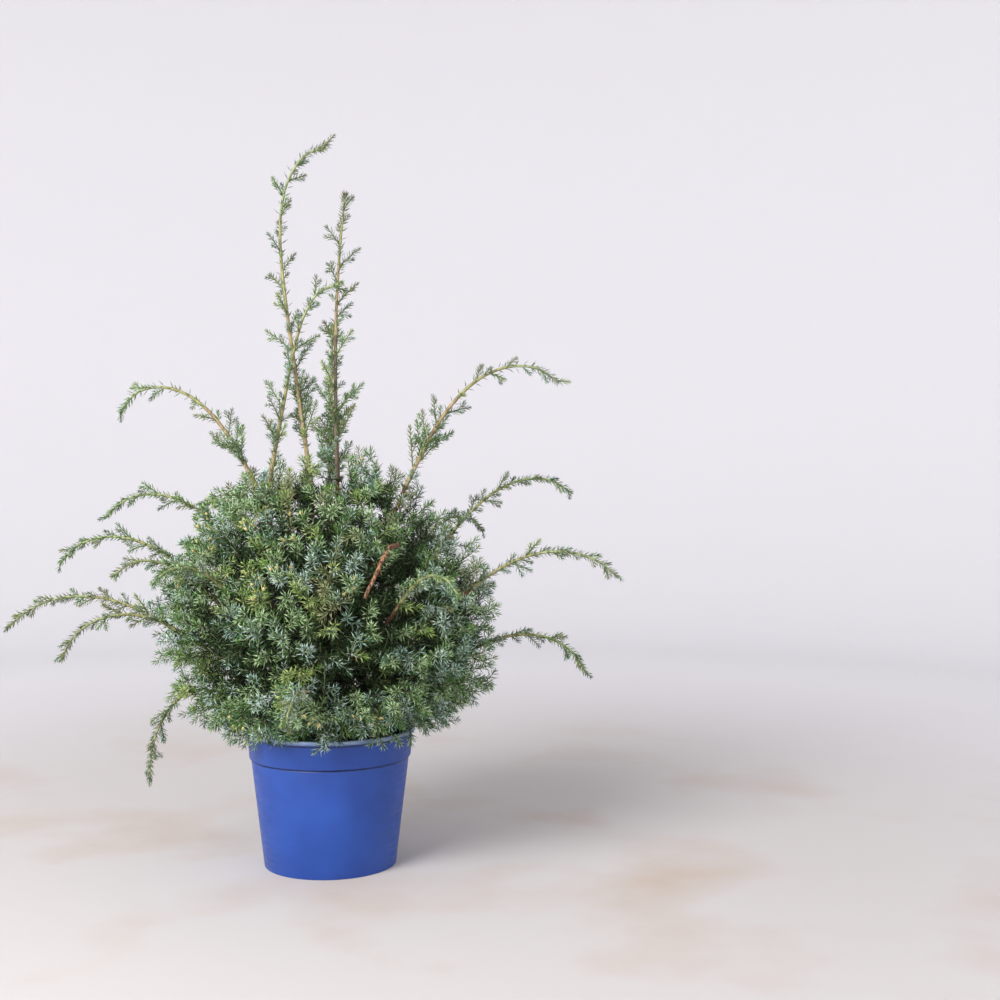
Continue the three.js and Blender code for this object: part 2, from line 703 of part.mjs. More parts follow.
const shootGroup = new THREE.Group();
// Shoots are cut clear of the bough that carries them, and of a shoot that grows from the same one.
shootParts.forEach((part, index) => {
  let solid = shootSolid(part, index);
  if (part.first === 0) {
    const earlier = stems.slice(0, stems.findIndex((stem) => stem.name === part.name));
    solid = clearOf([part.carrier, ...earlier.filter((stem) => stem.bough === part.bough)], solid);
  }
  shootGroup.add(meshOf(part.name, solid, freshGreen));
});

const crownGroup = new THREE.Group();
masses.forEach((mass, index) => crownGroup.add(meshOf(mass.name, massSolid(mass, index), blueGreen)));

const plant = new THREE.Group();
plant.add(pottery, wood, shootGroup, crownGroup);

export default plant;
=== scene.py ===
# %% [markdown]
# # A young juniper in a blue nursery pot
#
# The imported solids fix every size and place. This script gives them their looks: a moulded pot,
# peat compost, bark on trunk and boughs, and needles in whorls on twigs that grow by the rule
# that the solids grew by. Lengths are in millimetres, as in the solids' source, and MM turns
# them into Blender's metres where a mesh is made.

# %% Load the solids
import math

import bmesh
import bpy
import numpy as np
from mathutils import Matrix, Vector, noise


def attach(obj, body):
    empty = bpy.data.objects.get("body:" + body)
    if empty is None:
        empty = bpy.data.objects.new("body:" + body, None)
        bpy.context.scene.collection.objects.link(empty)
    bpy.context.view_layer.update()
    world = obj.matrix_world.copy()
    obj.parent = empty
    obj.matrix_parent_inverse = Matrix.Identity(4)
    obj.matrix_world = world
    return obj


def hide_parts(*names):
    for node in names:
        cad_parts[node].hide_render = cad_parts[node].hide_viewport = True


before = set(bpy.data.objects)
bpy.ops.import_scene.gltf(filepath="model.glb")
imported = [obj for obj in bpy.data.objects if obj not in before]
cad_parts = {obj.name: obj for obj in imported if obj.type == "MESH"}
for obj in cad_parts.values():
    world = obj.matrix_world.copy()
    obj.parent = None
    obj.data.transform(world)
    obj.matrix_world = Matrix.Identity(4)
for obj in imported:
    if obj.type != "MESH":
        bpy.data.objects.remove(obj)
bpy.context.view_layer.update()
MM = 0.001

# %% [markdown]
# ## Camera
#
# The camera stands a little above the middle of the plant and looks nearly level, so the far side
# of the pot's rim just shows over the near one. A lens of about 50 mm keeps the leading shoots
# from leaning apart. It could be aimed by a constraint, but a rotation worked out once is enough
# for a camera that stays where it is.

# %% Place the camera
CAMERA = {"place": (161, -1303, 363), "aim": (161, 0, 344), "lens": 49.5, "sensor": 36}


def in_scene(name, data):
    """A new object of some data, linked to the scene."""
    made = bpy.data.objects.new(name, data)
    bpy.context.scene.collection.objects.link(made)
    return made


def aim(item, place, target):
    """Puts a camera or a lamp at a place and points it at a target, both in millimetres."""
    item.location = Vector(place) * MM
    way = Vector(target) * MM - item.location
    item.rotation_euler = way.to_track_quat("-Z", "Y").to_euler()


def set_camera():
    camera = in_scene("camera", bpy.data.cameras.new("camera"))
    camera.data.lens = CAMERA["lens"]
    camera.data.sensor_width = CAMERA["sensor"]
    aim(camera, CAMERA["place"], CAMERA["aim"])
    bpy.context.scene.camera = camera
    return camera


print("camera at", tuple(set_camera().location))

# %% [markdown]
# ## Colours, nodes and pieces
#
# A colour that is read off a screen is sRGB, and a shader counts light, so one function turns
# hex colours into linear ones. A material is a small tree of nodes: one function adds a node,
# sets it and links its inputs, and a second one sets the Principled shader that every finish here
# ends in. Peat, bark and stems get their two shades and their relief from one pattern, so a third
# function does both. A fourth makes an object of a mesh, hangs it on the plant's body and hides
# the solids it stands for.

# %% Helpers for finishes


def linear(colour):
    """Linear red, green, blue and alpha of an sRGB hex colour."""
    channels = [int(colour[i : i + 2], 16) / 255 for i in (1, 3, 5)]
    return (*[c / 12.92 if c <= 0.04045 else ((c + 0.055) / 1.055) ** 2.4 for c in channels], 1.0)


def add(material, kind, settings, inputs):
    """Adds a node of a kind with its settings. An input is a value or another node's socket."""
    node = material.node_tree.nodes.new(kind)
    for name, value in settings.items():
        setattr(node, name, value)
    for name, value in inputs.items():
        if isinstance(value, bpy.types.NodeSocket):
            material.node_tree.links.new(value, node.inputs[name])
        else:
            node.inputs[name].default_value = value
    return node


def finish(name, **values):
    """A material of that name whose Principled shader has the values, by socket name."""
    material = bpy.data.materials.new(name)
    material.use_nodes = True
    shader = material.node_tree.nodes["Principled BSDF"]
    for socket, value in values.items():
        shader.inputs[socket.replace("_", " ").title().replace("Ior", "IOR")].default_value = value
    return material, shader


def drive(material, shader, socket, output):
    """Links a node's output to a socket of the shader."""
    material.node_tree.links.new(output, shader.inputs[socket])


def per(size):
    """Scale that gives a pattern on Object coordinates cells of about a size in millimetres."""
    return 1 / (size * MM)


def set_stops(ramp, places, shades):
    """Moves a colour ramp's two stops and gives them sRGB hex colours."""
    for stop, place, shade in zip(ramp.color_ramp.elements, places, shades):
        stop.position, stop.color = place, linear(shade)


def worked(material, shader, pattern, places, shades, strength, depth):
    """Colour between two shades, and relief of a depth in millimetres, that follow one pattern."""
    colour = add(material, "ShaderNodeValToRGB", {}, {"Fac": pattern})
    set_stops(colour, places, shades)
    drive(material, shader, "Base Color", colour.outputs["Color"])
    bump = add(material, "ShaderNodeBump", {}, {
        "Height": pattern, "Strength": strength, "Distance": depth * MM,
    })
    drive(material, shader, "Normal", bump.outputs["Normal"])


print("white is", linear("#FFFFFF"), "and a pattern of 10 mm has the scale", per(10))

# %% Helpers for pieces


def mesh_from(name, bm):
    """A mesh made of a bmesh, which is freed."""
    mesh = bpy.data.meshes.new(name)
    bm.to_mesh(mesh)
    bm.free()
    return mesh


def piece(name, mesh, looks, nodes):
    """Shows a mesh on the plant's body, in place of those solids."""
    for material in looks:
        mesh.materials.append(material)
    made = in_scene(name, mesh)
    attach(made, "root")
    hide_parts(*nodes)
    mesh.calc_loop_triangles()
    print(name, "triangles", len(mesh.loop_triangles))
    return made


NODES = sorted(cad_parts)
SHOOT_NODES = [name for name in NODES if name.startswith("shoot_")]
BOUGH_NODES = [name for name in NODES if name.startswith("bough_")]
print("shoots", len(SHOOT_NODES), "boughs", len(BOUGH_NODES))

# %% [markdown]
# ## Pot
#
# The pot is injection-moulded polypropylene: a satin blue, a rolled lip, a collar that ends in a
# step so that pots stack, and drain holes through the floor. Everything but the holes is round
# about one axis, so a profile is spun, its corners are beveled, because no moulded edge is sharp
# and a bevel is what catches the light, and the holes are cut last by a Boolean modifier.

# %% Model the pot
POT = {
    "height": 129, "rim": 80, "lip": 4.5, "lip_slant": 0.5, "collar": 77.6, "collar_taper": 1.6,
    "collar_height": 27, "step": 1.6, "inner_step": 1, "foot": 62, "wall": 1.8, "floor": 2.4,
}
UNDERCUT = {"height": 1.5, "depth": 1.1, "ledge": 0.4}
# Corners sharper than the first angle are beveled, and those over the second stay sharp in shade.
ROUND = {"steps": 128, "corner": 0.55, "segments": 3, "beveled": 20, "shaded": 35, "merged": 0.01}
COLLAR_FOOT = POT["height"] - POT["collar_height"]
COLLAR_RADIUS = POT["collar"] - POT["collar_taper"]


def body_radius(height):
    """Radius of the pot's outside below its collar."""
    share = height / COLLAR_FOOT
    return POT["foot"] + (COLLAR_RADIUS - POT["step"] - POT["foot"]) * share


def spun(profile, steps):
    """A bmesh of a profile of (radius, height) turned once about the axis, facing outwards."""
    bm = bmesh.new()
    points = [bm.verts.new((radius * MM, 0, height * MM)) for radius, height in profile]
    edges = [bm.edges.new(pair) for pair in zip(points, points[1:])]
    bmesh.ops.spin(
        bm, geom=points + edges, cent=(0, 0, 0), axis=(0, 0, 1), dvec=(0, 0, 0),
        angle=math.tau, steps=steps, use_merge=True, use_duplicate=False,
    )
    bmesh.ops.remove_doubles(bm, verts=bm.verts[:], dist=ROUND["merged"] * MM)
    bmesh.ops.recalc_face_normals(bm, faces=bm.faces[:])
    return bm


def pot_profile():
    lip_foot = POT["height"] - POT["lip"]
    wall = POT["wall"]
    return [
        (0, 0),
        (POT["foot"], 0),
        (body_radius(COLLAR_FOOT - UNDERCUT["height"]), COLLAR_FOOT - UNDERCUT["height"]),
        (body_radius(COLLAR_FOOT) - UNDERCUT["depth"], COLLAR_FOOT),
        (COLLAR_RADIUS, COLLAR_FOOT + UNDERCUT["ledge"]),
        (POT["collar"], lip_foot),
        (POT["rim"], lip_foot + POT["lip_slant"]),
        (POT["rim"], POT["height"]),
        (POT["collar"] - wall, POT["height"]),
        (COLLAR_RADIUS - wall, COLLAR_FOOT + POT["step"]),
        (body_radius(COLLAR_FOOT) - UNDERCUT["depth"] - wall, COLLAR_FOOT - POT["inner_step"]),
        (body_radius(POT["floor"]) - wall, POT["floor"]),
        (0, POT["floor"]),
    ]


def make_pot():
    bm = spun(pot_profile(), ROUND["steps"])
    corners = [
        e for e in bm.edges
        if len(e.link_faces) == 2 and e.calc_face_angle() > math.radians(ROUND["beveled"])
    ]
    bmesh.ops.bevel(
        bm, geom=corners, offset=ROUND["corner"] * MM, offset_type="OFFSET", affect="EDGES",
        segments=ROUND["segments"], profile=0.5, material=-1, clamp_overlap=True,
    )
    return mesh_from("pot_uncut", bm)


print("the collar's foot is at", COLLAR_FOOT, "mm and has a radius of", COLLAR_RADIUS)

# %% Cut the drain holes
DRAIN = {"holes": 6, "radius": 4.5, "circle": 50, "sides": 24, "peg": 9.6}


def drain_pegs():
    """Pegs that cut the drain holes, at even headings round the floor."""
    bm = bmesh.new()
    for i in range(DRAIN["holes"]):
        turn = math.tau * (i + 0.5) / DRAIN["holes"]
        middle = Vector((math.cos(turn), math.sin(turn), 0)) * DRAIN["circle"] * MM
        bmesh.ops.create_cone(
            bm, cap_ends=True, cap_tris=False, segments=DRAIN["sides"],
            radius1=DRAIN["radius"] * MM, radius2=DRAIN["radius"] * MM, depth=DRAIN["peg"] * MM,
            matrix=Matrix.Translation(middle),
        )
    return mesh_from("drain_pegs", bm)


def cut(mesh, cutter_mesh):
    """The mesh with the cutter's solids taken out of it."""
    whole, cutter = in_scene("whole", mesh), in_scene("cutter", cutter_mesh)
    holes = whole.modifiers.new("holes", "BOOLEAN")
    holes.object, holes.solver, holes.operation = cutter, "EXACT", "DIFFERENCE"
    result = bpy.data.meshes.new_from_object(
        whole.evaluated_get(bpy.context.evaluated_depsgraph_get())
    )
    for each in (whole, cutter):
        bpy.data.objects.remove(each)
    return result


pot_mesh = cut(make_pot(), drain_pegs())
pot_mesh.name = "pot_body"
pot_mesh.shade_smooth()
pot_mesh.set_sharp_from_angle(angle=math.radians(ROUND["shaded"]))
print("pot faces", len(pot_mesh.polygons))

# %% [markdown]
# ## Pot plastic
#
# Moulded polypropylene has a soft satin gloss. Its colour is through and through, but a pot that
# has stood outdoors gets lime and dust on its lip and faint rubs on its sides from being moved
# about. The colour also carries painted light: the pale lip is partly that dust and partly a painted
# highlight, and dark bands in the corners under the lip and under the collar are painted shade.
# Noise gives each of these at its own scale: clouds of some 40 mm in the colour, rubs of a few
# millimetres that are drawn out round the pot in the roughness, and a fine grain as bump. The
# height on the pot says where the lip and the two shaded corners are.

# %% Finish of the pot
# A Mix node has inputs and an output for each kind of data: these are the colour's numbers.
MIX = {"share": 0, "below": 6, "above": 7, "colour": 2}
# Painted shade in the corners under the collar and under the lip, and the pale lip, which is partly
# lime and dust and partly a painted highlight: height, half width and colour.
PAINTED_LIGHT_AND_DUST_BANDS = (
    (COLLAR_FOOT - 0.2, 1.7, "#101F4A"), (POT["height"] - POT["lip"] - 0.4, 1.8, "#14244F"),
    (POT["height"], 4.6, "#93A9BE"),
)
# Share of a band's half width in which it is full.
BAND_CORE = 0.35


def band(material, height, middle, half_width):
    """1 at a height on the pot and 0 a half width above and below it."""
    off = add(material, "ShaderNodeMath", {"operation": "SUBTRACT"}, {0: height, 1: middle * MM})
    away = add(material, "ShaderNodeMath", {"operation": "ABSOLUTE"}, {0: off.outputs["Value"]})
    made = add(material, "ShaderNodeMapRange", {"interpolation_type": "SMOOTHSTEP"}, {
        "Value": away.outputs["Value"], "From Min": BAND_CORE * half_width * MM,
        "From Max": half_width * MM, "To Min": 1, "To Max": 0,
    })
    return made.outputs["Result"]


def pot_plastic():
    """Satin moulded polypropylene: even blue, the lip pale with dust and painted highlight, painted
    shade under it.
    """
    material, shader = finish("moulded_polypropylene", roughness=0.42, ior=1.49)
    place = add(material, "ShaderNodeTexCoord", {}, {}).outputs["Object"]
    clouds = add(material, "ShaderNodeTexNoise", {}, {"Vector": place, "Scale": per(40), "Detail": 3})
    blue = add(material, "ShaderNodeValToRGB", {}, {"Fac": clouds.outputs["Fac"]})
    set_stops(blue, (0.35, 0.68), ("#193F8E", "#1F499C"))
    height = add(material, "ShaderNodeSeparateXYZ", {}, {"Vector": place}).outputs["Z"]
    # Noise that makes the painted shade, the dust and the painted highlight patchy.
    band_patches = add(material, "ShaderNodeTexNoise", {}, {"Vector": place, "Scale": per(7), "Detail": 4})
    patchiness = add(material, "ShaderNodeMapRange", {}, {
        "Value": band_patches.outputs["Fac"], "From Min": 0.3, "From Max": 0.7, "To Min": 0.55, "To Max": 0.95,
    })
    colour = blue.outputs["Color"]
    # Each band lays painted shade, or on the lip dust and a painted highlight, over the blue.
    for middle, half_width, laid in PAINTED_LIGHT_AND_DUST_BANDS:
        share = add(material, "ShaderNodeMath", {"operation": "MULTIPLY"}, {
            0: band(material, height, middle, half_width), 1: patchiness.outputs["Result"],
        })
        mix = add(material, "ShaderNodeMix", {"data_type": "RGBA"}, {
            MIX["share"]: share.outputs["Value"], MIX["below"]: colour, MIX["above"]: linear(laid),
        })
        colour = mix.outputs[MIX["colour"]]
    drive(material, shader, "Base Color", colour)
    drawn = add(material, "ShaderNodeMapping", {}, {"Vector": place, "Scale": (1, 1, 5)})
    rubs = add(material, "ShaderNodeTexNoise", {}, {
        "Vector": drawn.outputs["Vector"], "Scale": per(18), "Detail": 5, "Roughness": 0.6,
    })
    gloss = add(material, "ShaderNodeMapRange", {}, {
        "Value": rubs.outputs["Fac"], "From Min": 0.3, "From Max": 0.75, "To Min": 0.34, "To Max": 0.55,
    })
    drive(material, shader, "Roughness", gloss.outputs["Result"])
    grain = add(material, "ShaderNodeTexNoise", {}, {"Vector": place, "Scale": per(1.2), "Detail": 2})
    bump = add(material, "ShaderNodeBump", {}, {
        "Height": grain.outputs["Fac"], "Strength": 0.12, "Distance": 0.1 * MM,
    })
    drive(material, shader, "Normal", bump.outputs["Normal"])
    return material


piece("pot_body", pot_mesh, [pot_plastic()], ["pot"])

# %% [markdown]
# ## Compost
#
# Peat compost is a dark crumbly fill, lumpy on top where water has settled it, with loose crumbs
# and chips of bark lying on it. The bed is spun as the pot was, with rings close enough together
# to be pushed up and down by noise. The crumbs are small icospheres of a few faces, each with its
# corners moved so that no two look alike.

# %% Model the compost
# The bed is highest out to the radius "flat", as high as "top" at the radius "shoulder", and lower
# at its edge. Noise of two sizes makes its lumps and its grit, and its surface is sunk a little to
# make room for them.
GAP = 0.3
COMPOST = {"top": 116, "mound": 3, "shoulder": 62, "flat": 25, "edge_drop": 2.5, "clear": 0.6}
BED = {
    "ring": 2, "steps": 110, "lumps": 9, "lump_height": 1.5, "grit": 2.2, "grit_height": 0.6,
    "sunk": 0.8, "side": 1,
}
# Crumbs are balls with uneven corners, partly sunk in the bed. Their three sides are shares of
# their size.
CRUMBS = {
    "count": 420, "least": 0.7, "most": 2.6, "seed": 7, "off_edge": 8, "sunk": 0.6,
    "sides": (1, 0.7, 0.5), "uneven": 0.09,
}


def bed_height(out):
    """Height of the smooth bed at a distance from the axis."""
    edge = COLLAR_RADIUS - POT["wall"] - COMPOST["clear"]
    rise = [COMPOST["mound"], 0, -COMPOST["edge_drop"]]
    return COMPOST["top"] + float(np.interp(out, [COMPOST["flat"], COMPOST["shoulder"], edge], rise))


def lumpy(point):
    """How far the bed's surface rises or sinks at a point in millimetres."""
    lumps = noise.noise(point / BED["lumps"]) * BED["lump_height"]
    return lumps + noise.noise(point / BED["grit"]) * BED["grit_height"]


def make_bed():
    clear = POT["wall"] + COMPOST["clear"]
    edge = COLLAR_RADIUS - clear
    rings = np.arange(edge, 0, -BED["ring"])
    profile = [
        (0, POT["floor"] + GAP),
        (body_radius(POT["floor"]) - clear, POT["floor"] + GAP),
        (body_radius(COLLAR_FOOT) - clear, COLLAR_FOOT - POT["inner_step"]),
        (edge, COLLAR_FOOT + POT["step"]),
        *[(float(out), bed_height(out)) for out in rings],
        (0, bed_height(0)),
    ]
    bm = spun(profile, BED["steps"])
    for vert in bm.verts:
        if vert.co.z > (COLLAR_FOOT + POT["step"] + BED["side"]) * MM:
            vert.co.z += (lumpy(vert.co / MM) - BED["sunk"]) * MM
    mesh = mesh_from("compost_bed", bm)
    mesh.shade_smooth()
    return mesh


def make_crumbs():
    chance = np.random.default_rng(CRUMBS["seed"])
    bm = bmesh.new()
    for _ in range(CRUMBS["count"]):
        out = (COLLAR_RADIUS - CRUMBS["off_edge"]) * math.sqrt(chance.random())
        turn = chance.random() * math.tau
        size = CRUMBS["least"] + (CRUMBS["most"] - CRUMBS["least"]) * chance.random() ** 2
        spot = Vector((math.cos(turn) * out, math.sin(turn) * out, bed_height(out)))
        spot.z += lumpy(spot) - CRUMBS["sunk"]
        tumble = Matrix.Rotation(chance.random() * math.tau, 4, Vector(chance.normal(size=3)))
        shape = Matrix.Diagonal((*[size * side * MM for side in CRUMBS["sides"]], 1))
        made = bmesh.ops.create_icosphere(
            bm, subdivisions=1, radius=0.5, matrix=Matrix.Translation(spot * MM) @ tumble @ shape
        )
        for vert in made["verts"]:
            vert.co += Vector(chance.normal(scale=CRUMBS["uneven"] * size, size=3)) * MM
    return mesh_from("compost_crumbs", bm)


bed_mesh, crumb_mesh = make_bed(), make_crumbs()
print("compost faces", len(bed_mesh.polygons), "crumb faces", len(crumb_mesh.polygons))

# %% Finish of the compost


def peat(name, dark, light, size):
    """Moist milled peat: dull, dark, with paler fibres and a gritty bump."""
    material, shader = finish(name, roughness=0.95, ior=1.4)
    place = add(material, "ShaderNodeTexCoord", {}, {}).outputs["Object"]
    crumbs = add(material, "ShaderNodeTexNoise", {}, {
        "Vector": place, "Scale": per(size), "Detail": 6, "Roughness": 0.7,
    })
    worked(material, shader, crumbs.outputs["Fac"], (0.38, 0.72), (dark, light), 0.8, 0.8)
    return material


milled_peat = peat("milled_peat", "#1F150E", "#54402D", 3)
bark_chips = peat("bark_chips", "#3A281B", "#7C6044", 2)
piece("compost_bed", bed_mesh, [milled_peat], ["compost"])
piece("compost_crumbs", crumb_mesh, [bark_chips], ["compost"])

# %% [markdown]
# ## The rule that the plant grows by
#
# The plant is a short trunk, boughs, leading shoots that arch out of the crown, and dense masses
# of foliage round the trunk. Each shoot and each mass owns the space that is nearer to it than to
# any other, and a twig that would leave its owner's space is shortened, turned aside or left out.
# The solids follow this rule with one order of twigs, and here the same lines and the same rule
# are carried on to finer ones. NumPy works on whole arrays of points, so many thousands of twigs
# can be tested in a second or two.

# %% Sizes of the plant
FOOT = COMPOST["top"] + COMPOST["mound"] + GAP
TRUNK = {
    "tip": 352, "lean": (-18, 8), "bend": 4, "foot_radius": 6.2, "tip_radius": 2.0,
    "flare": 3.4, "flare_height": 10, "foot_rings": (-3, 3, 10, 20), "rings": 12,
}
CROWN = {"centre": 205, "radius": 168, "below": 102, "above": 194}
BOUGH = {"thick": 3.0, "thin": 1.8, "rings": 4, "rise": 0.22, "spread": 0.5}
# Where each bough leaves the trunk, its heading, and how far out and how high its tip is.
BOUGHS = {
    "bough_left_high": (215, 176, 68, 352),
    "bough_left_upper": (201, 168, 116, 320),
    "bough_left_middle": (182, 189, 132, 277),
    "bough_left_lower": (163, 180, 150, 222),
    "bough_left_skirt": (148, 186, 128, 168),
    "bough_top": (240, 70, 16, 362),
    "bough_right_high": (228, -8, 72, 355),
    "bough_right_upper": (206, 14, 118, 312),
    "bough_right_middle": (184, -14, 138, 262),
    "bough_right_lower": (160, 5, 144, 205),
    "bough_back_high": (221, 97, 64, 356),
    "bough_back_left": (192, 132, 124, 295),
    "bough_back_right": (187, 55, 126, 285),
    "bough_back_lower": (163, 92, 144, 215),
    "bough_front_left": (176, 234, 134, 268),
    "bough_front_right": (181, 304, 132, 255),
    "bough_front_lower": (156, 268, 130, 182),
}
# Leading shoots: the limb each grows from and at which share of it, its heading, its pitch and how
# far that falls by its end, how late it falls, its length, and where an arching one is parted.
SHOOTS = {
    "shoot_top": ("trunk", 1, 0, 98, 92, 7, 350, None),
    "shoot_top_second": ("bough_top", 1, 0, 92, 9, 1.5, 274, None),
    "shoot_left_arch": ("bough_left_high", 1, 179, 62, 134, 2.8, 190, 0.6),
    "shoot_left_upright": ("bough_left_high", 0.92, -12, 79, 90, 8, 236, None),
    "shoot_left_upper": ("bough_left_upper", 1, 176, 40, 95, 1.6, 122, None),
    "shoot_left_middle": ("bough_left_middle", 1, 183, 40, 98, 1.7, 134, None),
    "shoot_left_short": ("bough_left_middle", 0.9, 204, 38, 92, 2, 92, None),
    "shoot_left_lower": ("bough_left_lower", 1, 178, 32, 80, 1.5, 172, None),
    "shoot_left_fork": ("bough_left_lower", 0.9, 200, 36, 112, 1.5, 138, None),
    "shoot_left_hanging": ("bough_left_skirt", 1, 183, -28, 66, 0.8, 100, None),
    "shoot_right_arch": ("bough_right_high", 1, -6, 64, 112, 2.6, 205, 0.58),
    "shoot_right_upper": ("bough_right_upper", 1, 12, 48, 92, 2, 140, None),
    "shoot_right_middle": ("bough_right_middle", 1, -12, 38, 84, 1.6, 150, None),
    "shoot_right_lower": ("bough_right_lower", 1, 6, 22, 92, 1.4, 118, None),
    "shoot_back_high": ("bough_back_high", 1, 95, 74, 92, 4, 218, None),
    "shoot_back_left": ("bough_back_left", 1, 134, 46, 98, 1.8, 144, None),
    "shoot_back_right": ("bough_back_right", 1, 53, 44, 90, 1.7, 132, None),
    "shoot_back_lower": ("bough_back_lower", 1, 92, 26, 96, 1.4, 126, None),
    "shoot_front_left": ("bough_front_left", 1, 230, 40, 88, 1.6, 84, None),
    "shoot_front_right": ("bough_front_right", 1, 307, 42, 94, 1.7, 102, None),
    "shoot_front_lower": ("bough_front_lower", 1, 262, 16, 70, 1.1, 70, None),
}
SHOOT = {
    "seed": 131, "step": 27, "reach": 2, "every": 18, "first": 6, "long": 44, "short": 14,
    "uneven_spacing": 0.4, "uneven_length": 0.4, "uneven_turn": 40, "clear_of_parting": 0.25,
}
# Tiers of masses: how many, the first one's heading, and how far out and how high they are.
TIERS = {
    "foliage_skirt": (5, 274, 98, 160),
    "foliage_waist": (5, 310, 98, 224),
    "foliage_shoulder": (4, 274, 70, 290),
    "foliage_top": (2, 200, 38, 348),
}
MASS = {
    "reach": 55, "clearance": 5.2, "aside": (0, 14, -14, 24, -24, 32, -32), "above": (0, 14, -12),
    "drops": range(10, 140, 4), "above_foot": 5,
}
print("boughs", len(BOUGHS), "shoots", len(SHOOTS), "masses", sum(t[0] for t in TIERS.values()))

# %% Helpers for places and directions
UP = np.array([0.0, 0.0, 1.0])


def mixed(low, high, share):
    """What lies between two values at a share of the way."""
    return low + (high - low) * share


def unit(vectors):
    return vectors / np.linalg.norm(vectors, axis=-1, keepdims=True)


def around(heading, out, up):
    """Point at a heading, a distance from the pot's axis and a height."""
    turn = math.radians(heading)
    return np.array([math.cos(turn) * out, math.sin(turn) * out, up])


def bent(start, middle, tip, steps):
    """Lines that leave their starts towards the middles and end at the tips."""
    share = np.linspace(0, 1, steps + 1)[:, None, None]
    lines = (1 - share) ** 2 * start + 2 * share * (1 - share) * middle + share**2 * tip
    return lines.swapaxes(0, 1)


def on_line(lines, share):
    """Points at shares of the way along lines, each (count, points, 3)."""
    place = np.clip(share, 0, 1) * (lines.shape[1] - 1)
    index = np.minimum(place.astype(int), lines.shape[1] - 2)
    row = np.arange(len(lines)).reshape(-1, *[1] * (index.ndim - 1))
    return mixed(lines[row, index], lines[row, index + 1], (place - index)[..., None])


def along_line(lines, share):
    """Directions of lines at shares of the way along them."""
    index = np.minimum((np.clip(share, 0, 1) * (lines.shape[1] - 1)).astype(int), lines.shape[1] - 2)
    row = np.arange(len(lines)).reshape(-1, *[1] * (index.ndim - 1))
    return unit(lines[row, index + 1] - lines[row, index])


print("the left boughs head for", np.round(around(180, 1, 0), 3))

# %% Lines of the limbs


def trunk_at(height):
    """Middle of the trunk at a height."""
    share = (height - FOOT) / (TRUNK["tip"] - FOOT)
    sway = TRUNK["bend"] * math.sin(share * math.tau)
    return np.array([TRUNK["lean"][0] * share + sway, TRUNK["lean"][1] * share - sway, height])


def trunk_radius(height):
    above = height - FOOT
    flare = TRUNK["flare"] * math.exp(-above / TRUNK["flare_height"])
    return mixed(TRUNK["foot_radius"], TRUNK["tip_radius"], above / (TRUNK["tip"] - FOOT)) + flare


def trunk_line():
    heights = [FOOT + above for above in TRUNK["foot_rings"]]
    heights += list(np.linspace(heights[-1], TRUNK["tip"], TRUNK["rings"] + 1)[1:])
    return np.array([trunk_at(height) for height in heights])


def bough_line(start, heading, out, up, rings=BOUGH["rings"]):
    """A bough leaves the trunk at a slant, and turns up towards its tip."""
    root, tip = trunk_at(start), around(heading, out, up)
    middle = mixed(root, tip, BOUGH["spread"])
    middle[2] = mixed(root[2], tip[2], BOUGH["rise"])
    return bent(root[None], middle[None], tip[None], rings)[0]


def shoot_line(start, heading, pitch, droop, late, length):
    """A shoot's line: its pitch falls as it goes, so that its end nods or hangs."""
    steps = round(length / SHOOT["step"]) + 1
    points = [start]
    for i in range(steps):
        slope = math.radians(pitch - droop * ((i + 0.5) / steps) ** late)
        way = around(heading, math.cos(slope), math.sin(slope))
        points.append(points[-1] + way * (length / steps))
    return np.array(points)


LIMBS = {"trunk": trunk_line(), **{name: bough_line(*bough) for name, bough in BOUGHS.items()}}
SHOOT_LINES, SHOOT_LENGTHS = {}, {}
for name, (carrier, at, *course, length, _) in SHOOTS.items():
    start = on_line(LIMBS[carrier][None], np.array([at]))[0]
    SHOOT_LINES[name], SHOOT_LENGTHS[name] = shoot_line(start, *course, length), length
print("longest shoot has", max(len(line) for line in SHOOT_LINES.values()), "points")

# %% Sites of the shoots and masses


def shoot_parts():
    """Each shoot's lines as the solids part them: name, first and last point, and its line."""
    parts = []
    for name, line in SHOOT_LINES.items():
        last, parting = len(line) - 1, SHOOTS[name][-1]
        parted = int(parting * last + 0.5) if parting else last
        parts.append((name, 0, parted, line[: parted + 1]))
        if parting:
            parts.append((name, parted, last, line[parted:]))
    return parts


PARTS = shoot_parts()
MASSES = [
    (f"{tier}_{i + 1}", around(heading + 360 / count * i, out, up))
    for tier, (count, heading, out, up) in TIERS.items() for i in range(count)
]
SITE_LINES = [part[-1] for part in PARTS] + [np.array([centre, centre]) for _, centre in MASSES]
SITE_REACH = np.array([SHOOT["reach"]] * len(PARTS) + [MASS["reach"]] * len(MASSES))
DENSE_FROM = len(PARTS)
SITE_DENSE = np.arange(len(SITE_LINES)) >= DENSE_FROM
SITE_FROM = np.concatenate([line[:-1] for line in SITE_LINES])
SITE_TO = np.concatenate([line[1:] for line in SITE_LINES])
SITE_FIRST = np.cumsum([0] + [len(line) - 1 for line in SITE_LINES[:-1]])
LIMB_FROM = np.concatenate([line[:-1] for line in LIMBS.values()])
LIMB_TO = np.concatenate([line[1:] for line in LIMBS.values()])
LIMB_RADIUS = np.concatenate([
    [trunk_radius(low[2]) for low in line[:-1]] if name == "trunk"
    else np.full(len(line) - 1, BOUGH["thick"])
    for name, line in LIMBS.items()
])
print("spaces", len(SITE_LINES), "segments", len(SITE_FROM))

# %% Distances to the crown, the limbs and the pot
# Points that are tested at once: more would take too much memory.
CHUNK = 6000
TINY = 1e-9


def to_segments(points, starts, ends):
    """Distance of each point to each segment."""
    along = ends - starts
    offset = points[:, None] - starts
    squared = np.maximum((along**2).sum(-1), TINY)
    share = np.clip((offset * along).sum(-1) / squared, 0, 1)
    return np.linalg.norm(offset - share[..., None] * along, axis=-1)


